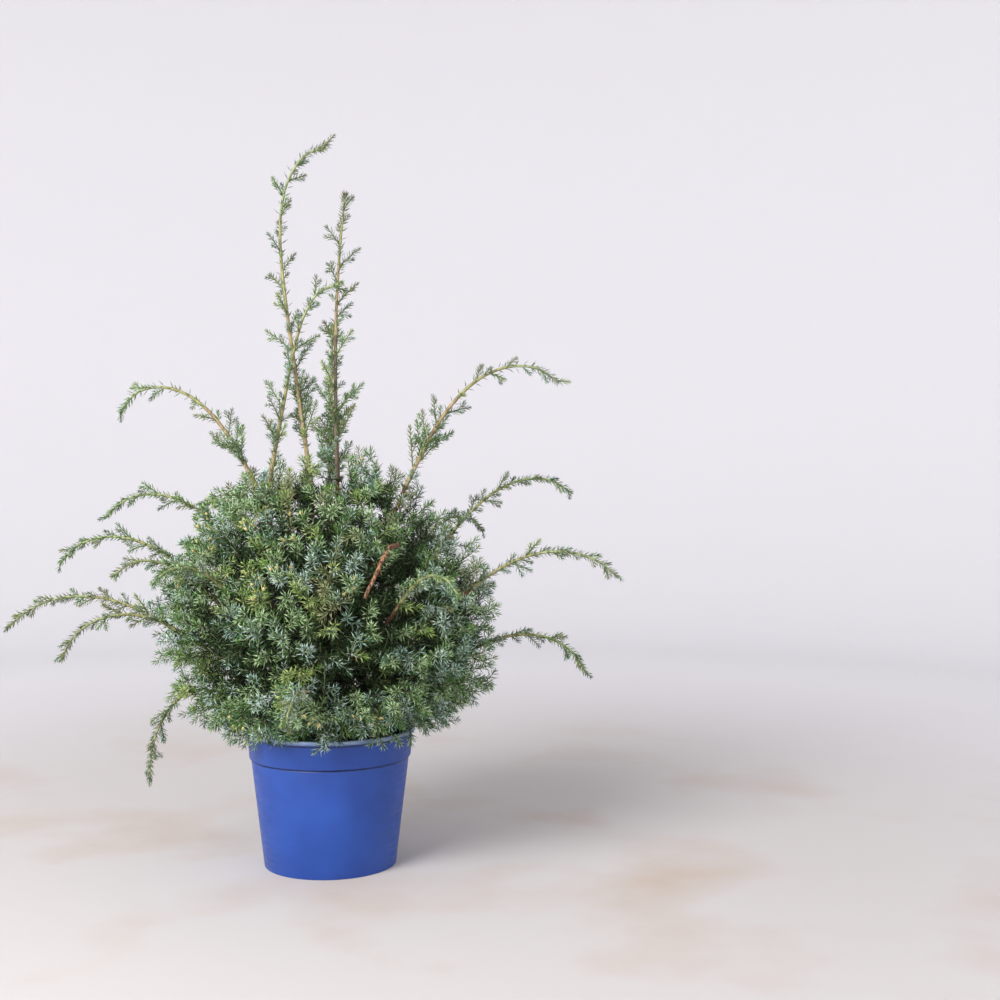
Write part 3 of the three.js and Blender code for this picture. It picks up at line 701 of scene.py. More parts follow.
def outside_crown(points):
    """How far points are outside the dense crown, at least; inside it this is below 0."""
    half = np.where(points[..., 2] < CROWN["centre"], CROWN["below"], CROWN["above"])
    out = np.hypot(points[..., 0], points[..., 1]) / CROWN["radius"]
    times = np.hypot(out, (points[..., 2] - CROWN["centre"]) / half)
    return (times - 1) * np.minimum(half, CROWN["radius"])


def in_parts(count):
    """Numbers up to a count in parts that are small enough to be tested at once."""
    return np.array_split(np.arange(count), count // CHUNK + 1)


def clear_of_limbs(points):
    """Whether points are outside the trunk's and the boughs' wood."""
    clear = np.empty(len(points), bool)
    for part in in_parts(len(points)):
        near = to_segments(points[part], LIMB_FROM, LIMB_TO) - LIMB_RADIUS
        clear[part] = near.min(1) > GAP
    return clear


def clear_of_pot(points, margin):
    out = np.hypot(points[..., 0], points[..., 1])
    floor = np.where(
        out > POT["rim"] + margin, 0,
        np.where(out > POT["rim"] - POT["lip"] - margin, POT["height"], FOOT),
    )
    return points[..., 2] > floor + margin


print("the crown's middle is", -outside_crown(UP * CROWN["centre"]), "mm inside its outline")

# %% Own space of each shoot and mass
# Shares of a twig's length at which it is tested.
TESTED = np.linspace(0.15, 1, 7)


def to_sites(points):
    """Distance of points to each site, counted from its reach."""
    near = np.minimum.reduceat(to_segments(points, SITE_FROM, SITE_TO), SITE_FIRST, axis=1)
    return near - SITE_REACH


def owners_of(points):
    """The site in whose own space each point inside the crown is."""
    return np.concatenate([to_sites(points[part]).argmin(1) for part in in_parts(len(points))])


def room(owner, points):
    """How much room points have before they leave their owners' spaces."""
    least = np.empty(len(points))
    for part in in_parts(len(points)):
        row, own = np.arange(len(part)), owner[part]
        near = to_sites(points[part])
        between = (near - near[row, own][:, None]) / 2
        outside = outside_crown(points[part])[:, None]
        between[:, SITE_DENSE] = np.maximum(between[:, SITE_DENSE], outside)
        between[row, own] = np.inf
        least[part] = between.min(1)
    return least


def fits(owner, lines, half_width):
    """Whether twigs keep to their owners' space and clear of limbs and pot."""
    flat = on_line(lines, np.tile(TESTED, (len(lines), 1))).reshape(-1, 3)
    owners = np.repeat(owner, len(TESTED))
    good = clear_of_pot(flat, half_width)
    good &= ~SITE_DENSE[owners] | (outside_crown(flat) < 0)
    good[good] = room(owners[good], flat[good]) > half_width
    good[good] = clear_of_limbs(flat[good])
    return good.reshape(-1, len(TESTED)).all(1)


print("owner of the trunk's tip", int(owners_of(LIMBS["trunk"][-1:])[0]))

# %% Chance and directions
# An axis steeper than this is turned about from X and not from the vertical.
STEEP = 0.9


def seeded(seed):
    """A repeatable random number from 0 to 1, the same as the solids' source draws."""
    state = seed
    full = 0xFFFFFFFF

    def draw():
        nonlocal state
        state = (state + 0x6D2B79F5) & full
        t = ((state ^ (state >> 15)) * (state | 1)) & full
        t ^= (t + (((t ^ (t >> 7)) * (t | 61)) & full)) & full
        return ((t ^ (t >> 14)) & full) / (full + 1)

    return draw


def square_to(axis):
    """Two directions square to each axis, which a turn about that axis is measured from."""
    reference = np.where(np.abs(axis[..., 2:]) > STEEP, [1.0, 0.0, 0.0], UP)
    side = unit(np.cross(axis, reference))
    return side, unit(np.cross(side, axis))


def leaning(axis, angle, turn):
    """Directions that lean away from axes by an angle, at a turn about them."""
    side, other = square_to(axis)
    angle, turn = np.radians(angle)[..., None], np.radians(turn)[..., None]
    level = side * np.cos(turn) + other * np.sin(turn)
    return axis * np.cos(angle) + level * np.sin(angle)


print("first draws", [round(seeded(SHOOT["seed"])(), 6), round(seeded(SHOOT["seed"] + 1)(), 6)])

# %% Growing twigs
TWIG_STEPS = 4
TURN = 137.508
# What a twig that doesn't fit is tried with in turn: shares of its length, each at these turns aside.
SHORTER = (1, 0.7, 0.45)
ASIDE = (0, 60, -60, 150)
# How much twigs of one kind differ, and how much their first turns differ from parent to parent.
UNEVEN = {"place": 0.6, "angle": 8, "turn": 40, "length": 0.25, "lift": 0.15, "bare_end": 0.3}
PARENT_TURN = 97


def curved(root, heading, length, lift):
    """Twigs' lines, which turn up, or with a lift below 0 down, as they go."""
    points = [root]
    for i in range(TWIG_STEPS):
        way = unit(heading + UP * (lift * (i + 0.5) / TWIG_STEPS)[:, None])
        points.append(points[-1] + way * (length / TWIG_STEPS)[:, None])
    return np.stack(points, axis=1)


def settled(owner, root, along, turn, angle, length, lift, half_width):
    """The longest twigs at their places, turned aside if need be, that keep to their space."""
    lines = np.zeros((len(root), TWIG_STEPS + 1, 3))
    found = np.zeros(len(root), bool)
    for shorter in SHORTER:
        for aside in ASIDE:
            left = np.flatnonzero(~found)
            heading = leaning(along[left], angle[left], turn[left] + aside)
            tried = curved(root[left], heading, length[left] * shorter, lift[left])
            good = fits(owner[left], tried, half_width)
            lines[left[good]] = tried[good]
            found[left[good]] = True
    return found, lines


def lengths_of(lines):
    return np.linalg.norm(np.diff(lines, axis=1), axis=-1).sum(1)


def numbered(counts):
    """For so many things on each of a row: which each is on, and its number there."""
    on = np.repeat(np.arange(len(counts)), counts)
    return on, np.arange(len(on)) - np.repeat(np.cumsum(counts) - counts, counts)


def side_twigs(chance, parents, owner, clear, first, every, long, short, angle, lift):
    """Side twigs of parents' lines, turn by turn, and shorter towards the parents' tips.

    Gives which parent each grows on, and its line."""
    length = lengths_of(parents)
    covered = length * (1 - first) - every * UNEVEN["bare_end"]
    parent, number = numbered(np.maximum(0, np.floor(covered / every)).astype(int))
    count = len(parent)
    share = first + (number + UNEVEN["place"] * chance.random(count)) * every / length[parent]
    spread = chance.uniform(-UNEVEN["angle"], UNEVEN["angle"], count)
    spread += np.broadcast_to(angle, len(parents))[parent]
    turn = TURN * number + chance.uniform(0, UNEVEN["turn"], count) + PARENT_TURN * parent
    reach = chance.uniform(1 - UNEVEN["length"], 1 + UNEVEN["length"], count)
    reach *= mixed(long, short, share)
    lifts = chance.uniform(-UNEVEN["lift"], UNEVEN["lift"], count)
    lifts += np.broadcast_to(lift, len(parents))[parent]
    root, along = on_line(parents[parent], share), along_line(parents[parent], share)
    found, lines = settled(owner[parent], root, along, turn, spread, reach, lifts, clear)
    return parent[found], lines[found]


on, number = numbered(np.array([2, 1]))
print("two twigs on one parent and one on another:", on, "numbered", number)

# %% [markdown]
# ## Trunk and boughs
#
# Young juniper bark is brown and flakes off in thin lengthwise strips. Each limb is a row of
# circles along its line, bridged into a tube and closed at both ends. Then every corner is moved
# out or in by noise that is drawn out along the limb, so that the strips are real relief and show
# against the light, and the joints between limbs are hidden inside the trunk.

# %% Model the bark
BARK = {
    "trunk_sides": 28, "trunk_ring": 2.7, "trunk_root": 3, "sides": 16, "ring": 4.5, "extra_rings": 8,
    "strip": 2.2, "drawn": 5, "relief": 0.16,
}
FLAKES = {"finer": 2.3, "offset": 5, "share": 0.5}


def bark_relief(turn, away, radius):
    """Share of its radius by which a limb's bark stands out at a turn round it and a distance along."""
    round_it = Vector((math.cos(turn), math.sin(turn), 0)) * radius / BARK["strip"]
    strips = noise.noise(round_it + Vector((0, 0, away / (BARK["strip"] * BARK["drawn"]))))
    elsewhere = Vector((FLAKES["offset"], FLAKES["offset"], away / BARK["strip"]))
    flakes = noise.noise(round_it * FLAKES["finer"] + elsewhere)
    return BARK["relief"] * (strips + FLAKES["share"] * flakes)


def barked(bm, line, radii, sides):
    """Adds a limb with bark relief along a line, with a radius at each of its points."""
    rings, away = [], 0
    for i, (point, radius) in enumerate(zip(line, radii)):
        before, after = line[max(i - 1, 0)], line[min(i + 1, len(line) - 1)]
        away += float(np.linalg.norm(point - before))
        middle = Vector(point) * MM
        turned = Vector(after - before).to_track_quat("Z", "Y").to_matrix().to_4x4()
        made = bmesh.ops.create_circle(
            bm, cap_ends=False, radius=radius * MM, segments=sides,
            matrix=Matrix.Translation(middle) @ turned,
        )
        for k, vert in enumerate(made["verts"]):
            out = bark_relief(math.tau * k / sides, away, radius)
            vert.co = middle + (vert.co - middle) * (1 + out)
        rings.append(list({e for vert in made["verts"] for e in vert.link_edges}))
    for lower, upper in zip(rings, rings[1:]):
        bmesh.ops.bridge_loops(bm, edges=lower + upper)
    for ring in (rings[0], rings[-1]):
        bmesh.ops.contextual_create(bm, geom=ring)


def bark_mesh(name, limbs, sides):
    """One mesh of several limbs, each a line and its radii."""
    bm = bmesh.new()
    for line, radii in limbs:
        barked(bm, line, radii, sides)
    bmesh.ops.recalc_face_normals(bm, faces=bm.faces[:])
    mesh = mesh_from(name, bm)
    mesh.shade_smooth()
    return mesh


def trunk_limb():
    heights = np.arange(FOOT - BARK["trunk_root"], TRUNK["tip"], BARK["trunk_ring"])
    return np.array([trunk_at(height) for height in heights]), [trunk_radius(h) for h in heights]


def bough_limb(bough):
    line = bough_line(*bough, rings=int(bough[2] / BARK["ring"]) + BARK["extra_rings"])
    return line, np.linspace(BOUGH["thick"], BOUGH["thin"], len(line))


trunk_mesh = bark_mesh("trunk_bark", [trunk_limb()], BARK["trunk_sides"])
bough_mesh = bark_mesh("bough_bark", [bough_limb(bough) for bough in BOUGHS.values()], BARK["sides"])
print("trunk faces", len(trunk_mesh.polygons), "bough faces", len(bough_mesh.polygons))

# %% Finish of the bark


def bark(name, dark, light, low=0.35, high=0.68):
    """Flaking juniper bark: brown strips over a redder under-bark, quite dull."""
    material, shader = finish(name, roughness=0.85, ior=1.45)
    place = add(material, "ShaderNodeTexCoord", {}, {}).outputs["Object"]
    drawn = add(material, "ShaderNodeMapping", {}, {"Vector": place, "Scale": (1, 1, 0.3)})
    strips = add(material, "ShaderNodeTexNoise", {}, {
        "Vector": drawn.outputs["Vector"], "Scale": per(1.8), "Detail": 5, "Roughness": 0.65,
    })
    worked(material, shader, strips.outputs["Fac"], (low, high), (dark, light), 0.6, 0.4)
    return material


# These shades are partly the bark's own brown and partly painted shade: they are made dark because the
# trunk and boughs show only through gaps deep in the crown.
old_bark = bark("flaking_bark", "#32231A", "#75543C")
piece("trunk_bark", trunk_mesh, [old_bark], ["trunk"])
piece("bough_bark", bough_mesh, [old_bark], BOUGH_NODES)

# %% [markdown]
# ## Leading shoots
#
# A leading shoot is a long wand of this year's and last year's wood. It is tan or red-brown where
# it leaves the crown and green at its end, with side twigs that leave it turn by turn. The main
# side twigs are drawn as the solids' source draws them, so they stand where the solids' do, and
# spurs and small twigs are then added by the same rule at a finer scale.

# %% Main twigs of the shoots
MAIN_TWIGS = {"angle": 38, "lift": -0.3}
SHOOT_CLEAR = 1.2
# Size of side twigs compared with the solids', which allow for the needles round them: on the wands
# that stand up, and on all other shoots.
WANDS = {
    "shoot_top": 0.95, "shoot_top_second": 1.0, "shoot_left_upright": 0.95, "shoot_back_high": 0.95,
    "shoot_left_arch": 0.7, "shoot_right_arch": 0.7,
}
OTHER_SIZE = 0.55
FINER = 5


def smooth(line):
    """A line with more points to each step, on a smooth curve through the ones it has."""
    padded = np.vstack([2 * line[0] - line[1], line, 2 * line[-1] - line[-2]])
    share = np.linspace(0, 1, FINER, endpoint=False)[:, None]
    points = []
    for a, b, c, d in zip(padded, padded[1:], padded[2:], padded[3:]):
        cubic = (3 * b - 3 * c + d - a) * share**3 + (2 * a - 5 * b + 4 * c - d) * share**2
        points.append((cubic + (c - a) * share + 2 * b) / 2)
    return np.vstack([*points, line[-1:]])


def main_shoot_twigs():
    """Side twigs of the leading shoots, drawn in the order of the solids' source."""
    owner, root, along, turn, reach = [], [], [], [], []
    for index, (name, first, last, _) in enumerate(PARTS):
        chance, length = seeded(SHOOT["seed"] + index), SHOOT_LENGTHS[name]
        size = WANDS.get(name, OTHER_SIZE)
        line = smooth(SHOOT_LINES[name])[None]
        steps = len(SHOOT_LINES[name]) - 1
        for i in range(int((length - SHOOT["first"]) / SHOOT["every"]) + 1):
            away = SHOOT["first"] + SHOOT["every"] * (i + SHOOT["uneven_spacing"] * chance())
            share = min(1, away / length)
            uneven = 1 + SHOOT["uneven_length"] * (chance() - 0.5)
            turned = TURN * i + SHOOT["uneven_turn"] * chance()
            if first + SHOOT["clear_of_parting"] <= share * steps <= last:
                owner.append(index)
                root.append(on_line(line, np.array([share]))[0])
                along.append(along_line(line, np.array([share]))[0])
                turn.append(turned)
                reach.append(mixed(SHOOT["long"], SHOOT["short"], share) * uneven * size)
    count = len(owner)
    found, lines = settled(
        np.array(owner), np.array(root), np.array(along), np.array(turn),
        np.full(count, float(MAIN_TWIGS["angle"])), np.array(reach),
        np.full(count, MAIN_TWIGS["lift"]), SHOOT_CLEAR,
    )
    return np.array(owner)[found], lines[found]


main_owner, main_lines = main_shoot_twigs()
print("main twigs of the shoots", len(main_lines))

# %% Spurs, fine twigs and sprays of the shoots
# Where twigs start, how far apart they are, how long at the root and the tip of what they grow on,
# how far they lean away from it, and how they turn up.
FOOT_SPRAYS = {"first": 0.02, "every": 5.5, "long": 42, "short": 22, "angle": 34, "lift": 0.35}
FOOT_SIDES = {"first": 0.3, "every": 9, "long": 12, "short": 7, "angle": 38, "lift": 0.35}
SPURS = {"first": 0.04, "long": 12, "short": 8, "angle": 36, "lift": -0.3}
SPURS_EVERY = {"wand": 22, "front": 5, "other": 11}
FINE_TWIGS = {"first": 0.25, "every": 8, "long": 11, "short": 6, "angle": 38, "lift": -0.1}
# The share of a wand that stands in sprays.
WAND_FOOT = 0.3


def shoot_spurs(chance):
    """Short twigs between the main ones, along every part of the leading shoots."""
    lines = []
    for index, (name, first, last, _) in enumerate(PARTS):
        line = smooth(SHOOT_LINES[name])[first * FINER : last * FINER + 1][None]
        kind = "wand" if name in WANDS else "front" if "_front_" in name else "other"
        every = SPURS_EVERY[kind]
        _, made = side_twigs(chance, line, np.array([index]), SHOOT_CLEAR, every=every, **SPURS)
        lines.append(made)
    return np.concatenate(lines)


def foot_sprays(chance):
    """Long sprays that rise round the foot of each wand, where it leaves the crown."""
    owner, lines = [], []
    for index, (name, first, _, _) in enumerate(PARTS):
        if name in WANDS and first == 0:
            whole = smooth(SHOOT_LINES[name])
            line = whole[: int(len(whole) * WAND_FOOT) + 1][None]
            _, made = side_twigs(chance, line, np.array([index]), SHOOT_CLEAR, **FOOT_SPRAYS)
            owner += [index] * len(made)
            lines.append(made)
    return np.array(owner), np.concatenate(lines)


shoot_chance = np.random.default_rng(21)
foot_owner, foot_lines = foot_sprays(shoot_chance)
foot_parent, foot_side_lines = side_twigs(
    shoot_chance, foot_lines, foot_owner, SHOOT_CLEAR, **FOOT_SIDES
)
spur_lines = shoot_spurs(shoot_chance)
fine_parent, fine_lines = side_twigs(shoot_chance, main_lines, main_owner, SHOOT_CLEAR, **FINE_TWIGS)
print("spurs", len(spur_lines), "fine twigs", len(fine_lines))
print("sprays at the wands' feet", len(foot_lines), "side twigs", len(foot_side_lines))

# %% [markdown]
# ## The dense crown
#
# Each mass of foliage hangs on one stem from the trunk, and branchlets spread from the stem's end
# towards the crown's outline, at even turns of 137.5 degrees. The rest is grown from its tips:
# they are dealt out evenly through the crown's outer layer, each belongs to the shoot or mass in
# whose space it is, and a twig joins it to the nearest wood of that owner, the innermost tips
# first. That gives what a young juniper shows: an even coat of sprays over bare brown wood, a
# little lumpy at the sides and loose on top, where the young sprays stand up against the sky.

# %% Grow the branchlets
BRANCHLETS = {
    "count": 20, "widest": 112, "uneven_turn": 30, "short_of_outline": (16, 44), "least_run": 14,
    "sag": 0.1,
}
SEARCH = {"step": 2.5, "far": 150, "clear": 1.5}
# Shares of a stem's length at which its distance from other wood is tested.
STEM_TESTED = 0.06 + 0.04 * np.arange(24)


def apart(start, end, blocked, distance):
    """Whether a stem keeps a distance from segments, tested at points along it."""
    near = to_segments(mixed(start, end, STEM_TESTED[:, None]), *blocked)
    return near.min() >= distance


def clear_stem(centre, blocked):
    """Stem of a mass: from the first height on the trunk, and to the first place in the mass,
    between which it runs clear of boughs and of other stems."""
    outward = unit(centre * [1, 1, 0])
    beside = np.cross(UP, outward)
    for aside in MASS["aside"]:
        for above in MASS["above"]:
            end = centre + beside * aside + UP * above
            for drop in MASS["drops"]:
                start = trunk_at(max(FOOT + MASS["above_foot"], centre[2] - drop))
                if apart(start, end, blocked, MASS["clearance"]):
                    return np.array([start, end])
    raise ValueError("no clear stem")


def mass_stems():
    bars = [line for name, line in LIMBS.items() if name != "trunk"] + list(SHOOT_LINES.values())
    stems = []
    for _, centre in MASSES:
        taken = bars + stems
        blocked = (np.concatenate([b[:-1] for b in taken]), np.concatenate([b[1:] for b in taken]))
        stems.append(clear_stem(centre, blocked))
    return stems


def run_of(owner, starts, headings):
    """How far directions run from points before they leave their owners' space or the crown."""
    reach = np.arange(SEARCH["step"], SEARCH["far"], SEARCH["step"])
    points = (starts[:, None] + headings[:, None] * reach[:, None]).reshape(-1, 3)
    owners = np.repeat(owner, len(reach))
    good = (outside_crown(points) < 0) & clear_of_pot(points, SEARCH["clear"])
    good[good] = room(owners[good], points[good]) > SEARCH["clear"]
    return np.logical_and.accumulate(good.reshape(-1, len(reach)), axis=1).sum(1) * SEARCH["step"]


def branchlets(chance, stems):
    """First order of each mass: from its stem's end towards the crown's outline."""
    count = BRANCHLETS["count"]
    mass, number = numbered(np.full(len(MASSES), count))
    centres = np.array([centre for _, centre in MASSES])[mass]
    main = unit(centres - trunk_at(CROWN["centre"]))
    angle = BRANCHLETS["widest"] * np.sqrt((number + 0.5) / count)
    turn = TURN * number + chance.uniform(0, BRANCHLETS["uneven_turn"], len(number))
    heading = leaning(main, angle, turn)
    run = run_of(mass + DENSE_FROM, centres, heading)
    run -= chance.uniform(*BRANCHLETS["short_of_outline"], len(run))
    start = np.array([stem[1] for stem in stems])[mass]
    tip = centres + heading * run[:, None]
    middle = mixed(start, tip, 0.5) - UP * (BRANCHLETS["sag"] * run)[:, None]
    kept = run > BRANCHLETS["least_run"]
    return mass[kept] + DENSE_FROM, bent(start, middle, tip, TWIG_STEPS)[kept]


crown_chance = np.random.default_rng(77)
STEMS = mass_stems()
branchlet_owner, branchlet_lines = branchlets(crown_chance, STEMS)
print("branchlets", len(branchlet_lines))

# %% Deal out the tips
# Layers by their depth under the foliage's surface, outermost first. The first are single sprays
# that stand out of the rest. Pairs of distances hold for the dense part and for the loose top,
# where the first layer is also deeper by a factor.
TIP_LAYERS = (
    {"depth": (0, 9), "apart": (21, 20), "raised": (22, 66), "deeper": 7, "tries": 7000},
    {"depth": (0, 5), "apart": (11.1, 17), "raised": (0, 0), "deeper": 1, "tries": 18000},
    {"depth": (7, 24), "apart": (12.3, 17), "raised": (0, 0), "deeper": 1, "tries": 15000},
    {"depth": (26, 58), "apart": (16, 17), "raised": (0, 0), "deeper": 1, "tries": 9000},
    {"depth": (60, 118), "apart": (18, 18), "raised": (0, 0), "deeper": 1, "tries": 6000},
)
# There are never more tips than "most". The foliage's surface is sunk under the outline by lumps:
# how deep, between which heights they turn into those of the loose top, and which share of their
# depth is left by height at the skirt.
TIPS = {
    "most": 9000, "clear_of_pot": 4, "surface": 7, "lumpy": 46, "loose_from": 280, "loose_all": 350,
    "loose": 84, "skirt": ((115, 170), (0.3, 1)),
}
# Sizes of the lumps, their weights, and the share of the full depth about which they swing.
LUMPS, LUMPS_MIDDLE = ((80, 1.3), (28, 0.8)), 0.4


def looseness(points):
    """0 in the dense part of the crown, 1 at its top, where sprays stand apart."""
    above = (points[:, 2] - TIPS["loose_from"]) / (TIPS["loose_all"] - TIPS["loose_from"])
    return np.clip(above, 0, 1)


def sunk(points):
    """How far the foliage's surface is below the crown's outline: more on top, least at the pot."""
    lumps = sum(
        share * np.array([noise.noise(Vector(point / size)) for point in points])
        for size, share in LUMPS
    )
    deepest = mixed(TIPS["lumpy"], TIPS["loose"], looseness(points))
    deepest *= np.interp(points[:, 2], *TIPS["skirt"])
    return TIPS["surface"] + deepest * np.clip(LUMPS_MIDDLE + lumps, 0, 1)


def in_layer(chance, layer):
    """Points strewn through a layer of the crown, where they are clear of the pot."""
    tries = layer["tries"]
    way = unit(chance.normal(size=(tries, 3)))
    half = np.where(way[:, 2] < 0, CROWN["below"], CROWN["above"])
    outline = way * np.stack([np.full(tries, CROWN["radius"])] * 2 + [half], axis=1)
    place = outline + UP * CROWN["centre"]
    surface = np.maximum(1, sunk(place) - mixed(*layer["raised"], looseness(place)))
    deeper = mixed(1, layer["deeper"], looseness(place))
    depth = surface + chance.uniform(*layer["depth"], tries) * deeper
    share = 1 - depth / np.minimum(half, CROWN["radius"])
    points = outline * share[:, None] + UP * CROWN["centre"]
    return points[clear_of_pot(points, TIPS["clear_of_pot"])]


def dealt_tips(chance):
    """Tips of which no two are nearer than their layers allow, the outermost layer first."""
    kept, count = np.empty((TIPS["most"], 3)), 0
    for layer in TIP_LAYERS:
        points = in_layer(chance, layer)
        for point, away in zip(points, mixed(*layer["apart"], looseness(points))):
            if count == 0 or ((kept[:count] - point) ** 2).sum(1).min() > away**2:
                kept[count] = point
                count += 1
    return kept[:count]


tips = dealt_tips(crown_chance)
tip_owner = owners_of(tips)
print("tips", len(tips), "of them in shoots' spaces", int((tip_owner < DENSE_FROM).sum()))

# %% Wood that tips can join
# How near and how far off the wood may be, how much more a way across the spray's own direction
# counts than one along it, how far sprays point up, and how twigs leave the wood and sag.
JOIN = {"least": 14, "farthest": 80, "across": 0.8, "up": 0.35, "lead": 0.6, "sag": 0.08}
STEM_POINTS = 9


def outwards(points):
    """Where sprays point: away from the crown's middle, and somewhat up."""
    half = np.where(points[:, 2] < CROWN["centre"], CROWN["below"], CROWN["above"])[:, None]
    slope = (points - UP * CROWN["centre"]) / np.where(UP > 0, half, CROWN["radius"]) ** 2
    return unit(unit(slope) + UP * JOIN["up"])


def wood_of(lines, owner, number):
    """Points on twigs that others can grow from: place, direction, owner and twig number."""
    places = lines[:, 1:].reshape(-1, 3)
    ways = unit(np.diff(lines, axis=1)).reshape(-1, 3)
    return places, ways, np.repeat(owner, lines.shape[1] - 1), np.repeat(number, lines.shape[1] - 1)


def first_wood():
    """The wood that is there before the tips are joined: branchlets, stems, boughs and shoots."""
    made = [wood_of(branchlet_lines, branchlet_owner, np.arange(len(branchlet_lines)))]
    bare = [smooth(line) for line in [*LIMBS.values(), *SHOOT_LINES.values()]]
    bare += [mixed(a, b, np.linspace(0, 1, STEM_POINTS)[:, None]) for a, b in STEMS]
    for line in bare:
        places, ways, _, number = wood_of(line[None], np.array([0]), np.array([-1]))
        made.append((places, ways, owners_of(places), number))
    return [np.concatenate(some) for some in zip(*made)]


bare_wood = first_wood()
print("places on the bare wood", len(bare_wood[0]))

# %% Join the tips to the wood


def joined(tips, tip_owner):
    """A twig to each tip from the wood of its owner, the innermost first.

    Gives which tips were joined, their lines, and the number of the twig each grows from."""
    count, more = len(bare_wood[0]), len(tips) * TWIG_STEPS
    wood = [np.concatenate([some, np.zeros((more, *some.shape[1:]), some.dtype)]) for some in bare_wood]
    places, ways, owner, number = wood
    done, lines, parents = [], [], []
    away = outwards(tips)
    for i in np.argsort(outside_crown(tips)):
        near = np.flatnonzero(owner[:count] == tip_owner[i])
        way = tips[i] - places[near]
        far = np.linalg.norm(way, axis=1)
        cost = far * (1 + JOIN["across"]) - JOIN["across"] * (way @ away[i])
        cost[(far < JOIN["least"]) | (far > JOIN["farthest"])] = np.inf
        if len(near) == 0 or not np.isfinite(cost.min()):
            continue
        best = cost.argmin()
        start, length = places[near[best]], far[best]
        lead = unit(ways[near[best]] * JOIN["lead"] + way[best] / length)
        middle = start + lead * length / 2 - UP * length * JOIN["sag"]
        line = bent(start[None], middle[None], tips[i][None], TWIG_STEPS)
        made = wood_of(line, tip_owner[i : i + 1], np.array([len(branchlet_lines) + len(lines)]))
        for array, some in zip(wood, made):
            array[count : count + TWIG_STEPS] = some
        count += TWIG_STEPS
        done.append(i)
        lines.append(line[0])
        parents.append(number[near[best]])
    return np.array(done), np.array(lines), np.array(parents)


def loads_of(parents, count):
    """How many tips each twig carries, itself among them."""
    loads = np.ones(count)
    for twig in range(count - 1, -1, -1):
        if parents[twig] >= 0:
            loads[parents[twig]] += loads[twig]
    return loads


done, joined_lines, joined_parent = joined(tips, tip_owner)
spray_lines = np.concatenate([branchlet_lines, joined_lines])
spray_owner = np.concatenate([branchlet_owner, tip_owner[done]])
spray_parent = np.concatenate([np.full(len(branchlet_lines), -1), joined_parent])
spray_load = loads_of(spray_parent, len(spray_parent))
print("tips joined", len(done), "of", len(tips), "heaviest twig carries", int(spray_load.max()))

# %% Side twigs of the crown
SIDE = {"first": 0.28, "every": 7, "long": 16, "short": 9}
# In the dense part of the crown and in its loose top.
SIDE_ANGLE, SIDE_LIFT = (46, 34), (0.15, 0.6)
loose = looseness(spray_lines[:, -1])
side_parent, side_lines = side_twigs(
    crown_chance, spray_lines, spray_owner, SEARCH["clear"],
    angle=mixed(*SIDE_ANGLE, loose), lift=mixed(*SIDE_LIFT, loose), **SIDE,
)
side_owner = spray_owner[side_parent]
print("side twigs", len(side_lines))

# %% [markdown]
# ## Twigs as tubes
#
# Several thousand twigs are too many for an operator each, and particles or instances don't reach
# an exported model. So the points of all the tubes are worked out in one array and turned into one
# mesh: three sides are enough on a twig that is a millimetre thick. A twig is as thick as the
# number of tips that it carries asks for, so wood gathers towards the trunk as it does in life.

# %% Meshes of many twigs


def mesh_of(name, points, faces, looks):
    """A mesh from points in millimetres, arrays of faces with one number of corners each, and the
    material number of every face."""
    mesh = bpy.data.meshes.new(name)
    corners = np.concatenate([some.ravel() for some in faces]).astype(np.int32)
    sizes = np.concatenate([np.full(len(some), some.shape[1]) for some in faces])
    mesh.vertices.add(len(points))
    mesh.vertices.foreach_set("co", (points * MM).astype(np.float32).ravel())
    mesh.loops.add(len(corners))
    mesh.loops.foreach_set("vertex_index", corners)
    mesh.polygons.add(len(sizes))
    mesh.polygons.foreach_set("loop_start", (np.cumsum(sizes) - sizes).astype(np.int32))
    mesh.polygons.foreach_set("material_index", looks.astype(np.int32))
    mesh.update(calc_edges=True)
    mesh.validate()
    return mesh


def tubes(lines, radii, sides):
    """Points and faces of closed tubes along lines: the faces as (count, segments, sides, 4)."""
    count, rings = lines.shape[:2]
    tangent = unit(np.gradient(lines, axis=1))
    side = square_to(unit(lines[:, -1] - lines[:, 0]))[0][:, None]
    side = unit(side - tangent * (side * tangent).sum(-1, keepdims=True))
    other = np.cross(tangent, side)
    turn = np.arange(sides) * math.tau / sides
    ring = side[:, :, None] * np.cos(turn)[:, None] + other[:, :, None] * np.sin(turn)[:, None]
    points = lines[:, :, None] + ring * radii[:, :, None, None]
    index = np.arange(count * rings * sides).reshape(count, rings, sides)
    after = np.roll(index, -1, axis=2)
    walls = np.stack([index[:, :-1], after[:, :-1], after[:, 1:], index[:, 1:]], axis=-1)
    ends = np.concatenate([index[:, 0, ::-1], index[:, -1]])
    return points.reshape(-1, 3), walls, ends


def twig_mesh(name, batches, sides):
    """One mesh of batches of twigs: lines, their radius at root and tip, and a material number for
    the whole of them or for each of their segments."""
    points, walls, ends, looks, end_looks, before = [], [], [], [], [], 0
    for lines, thick, thin, look in batches:
        taper = mixed(np.reshape(thick, (-1, 1)), thin, np.linspace(0, 1, lines.shape[1]))
        made, wall, end = tubes(lines, np.broadcast_to(taper, lines.shape[:2]), sides)
        points.append(made)
        walls.append(wall.reshape(-1, 4) + before)
        ends.append(end + before)
        by_segment = np.broadcast_to(look, wall.shape[1])
        looks.append(np.tile(np.repeat(by_segment, sides), len(lines)))
        end_looks.append(np.repeat(by_segment[[0, -1]], len(lines)))
        before += len(made)
    faces = [np.concatenate(walls), np.concatenate(ends)]
    return mesh_of(name, np.concatenate(points), faces, np.concatenate(looks + end_looks))


test_tube = tubes(np.array([[[0.0, 0, 0], [0, 0, 1]]]), np.ones((1, 2)), 3)
print("corners of a tube with one stretch and three sides", len(test_tube[0]))

# %% Finish of the young wood


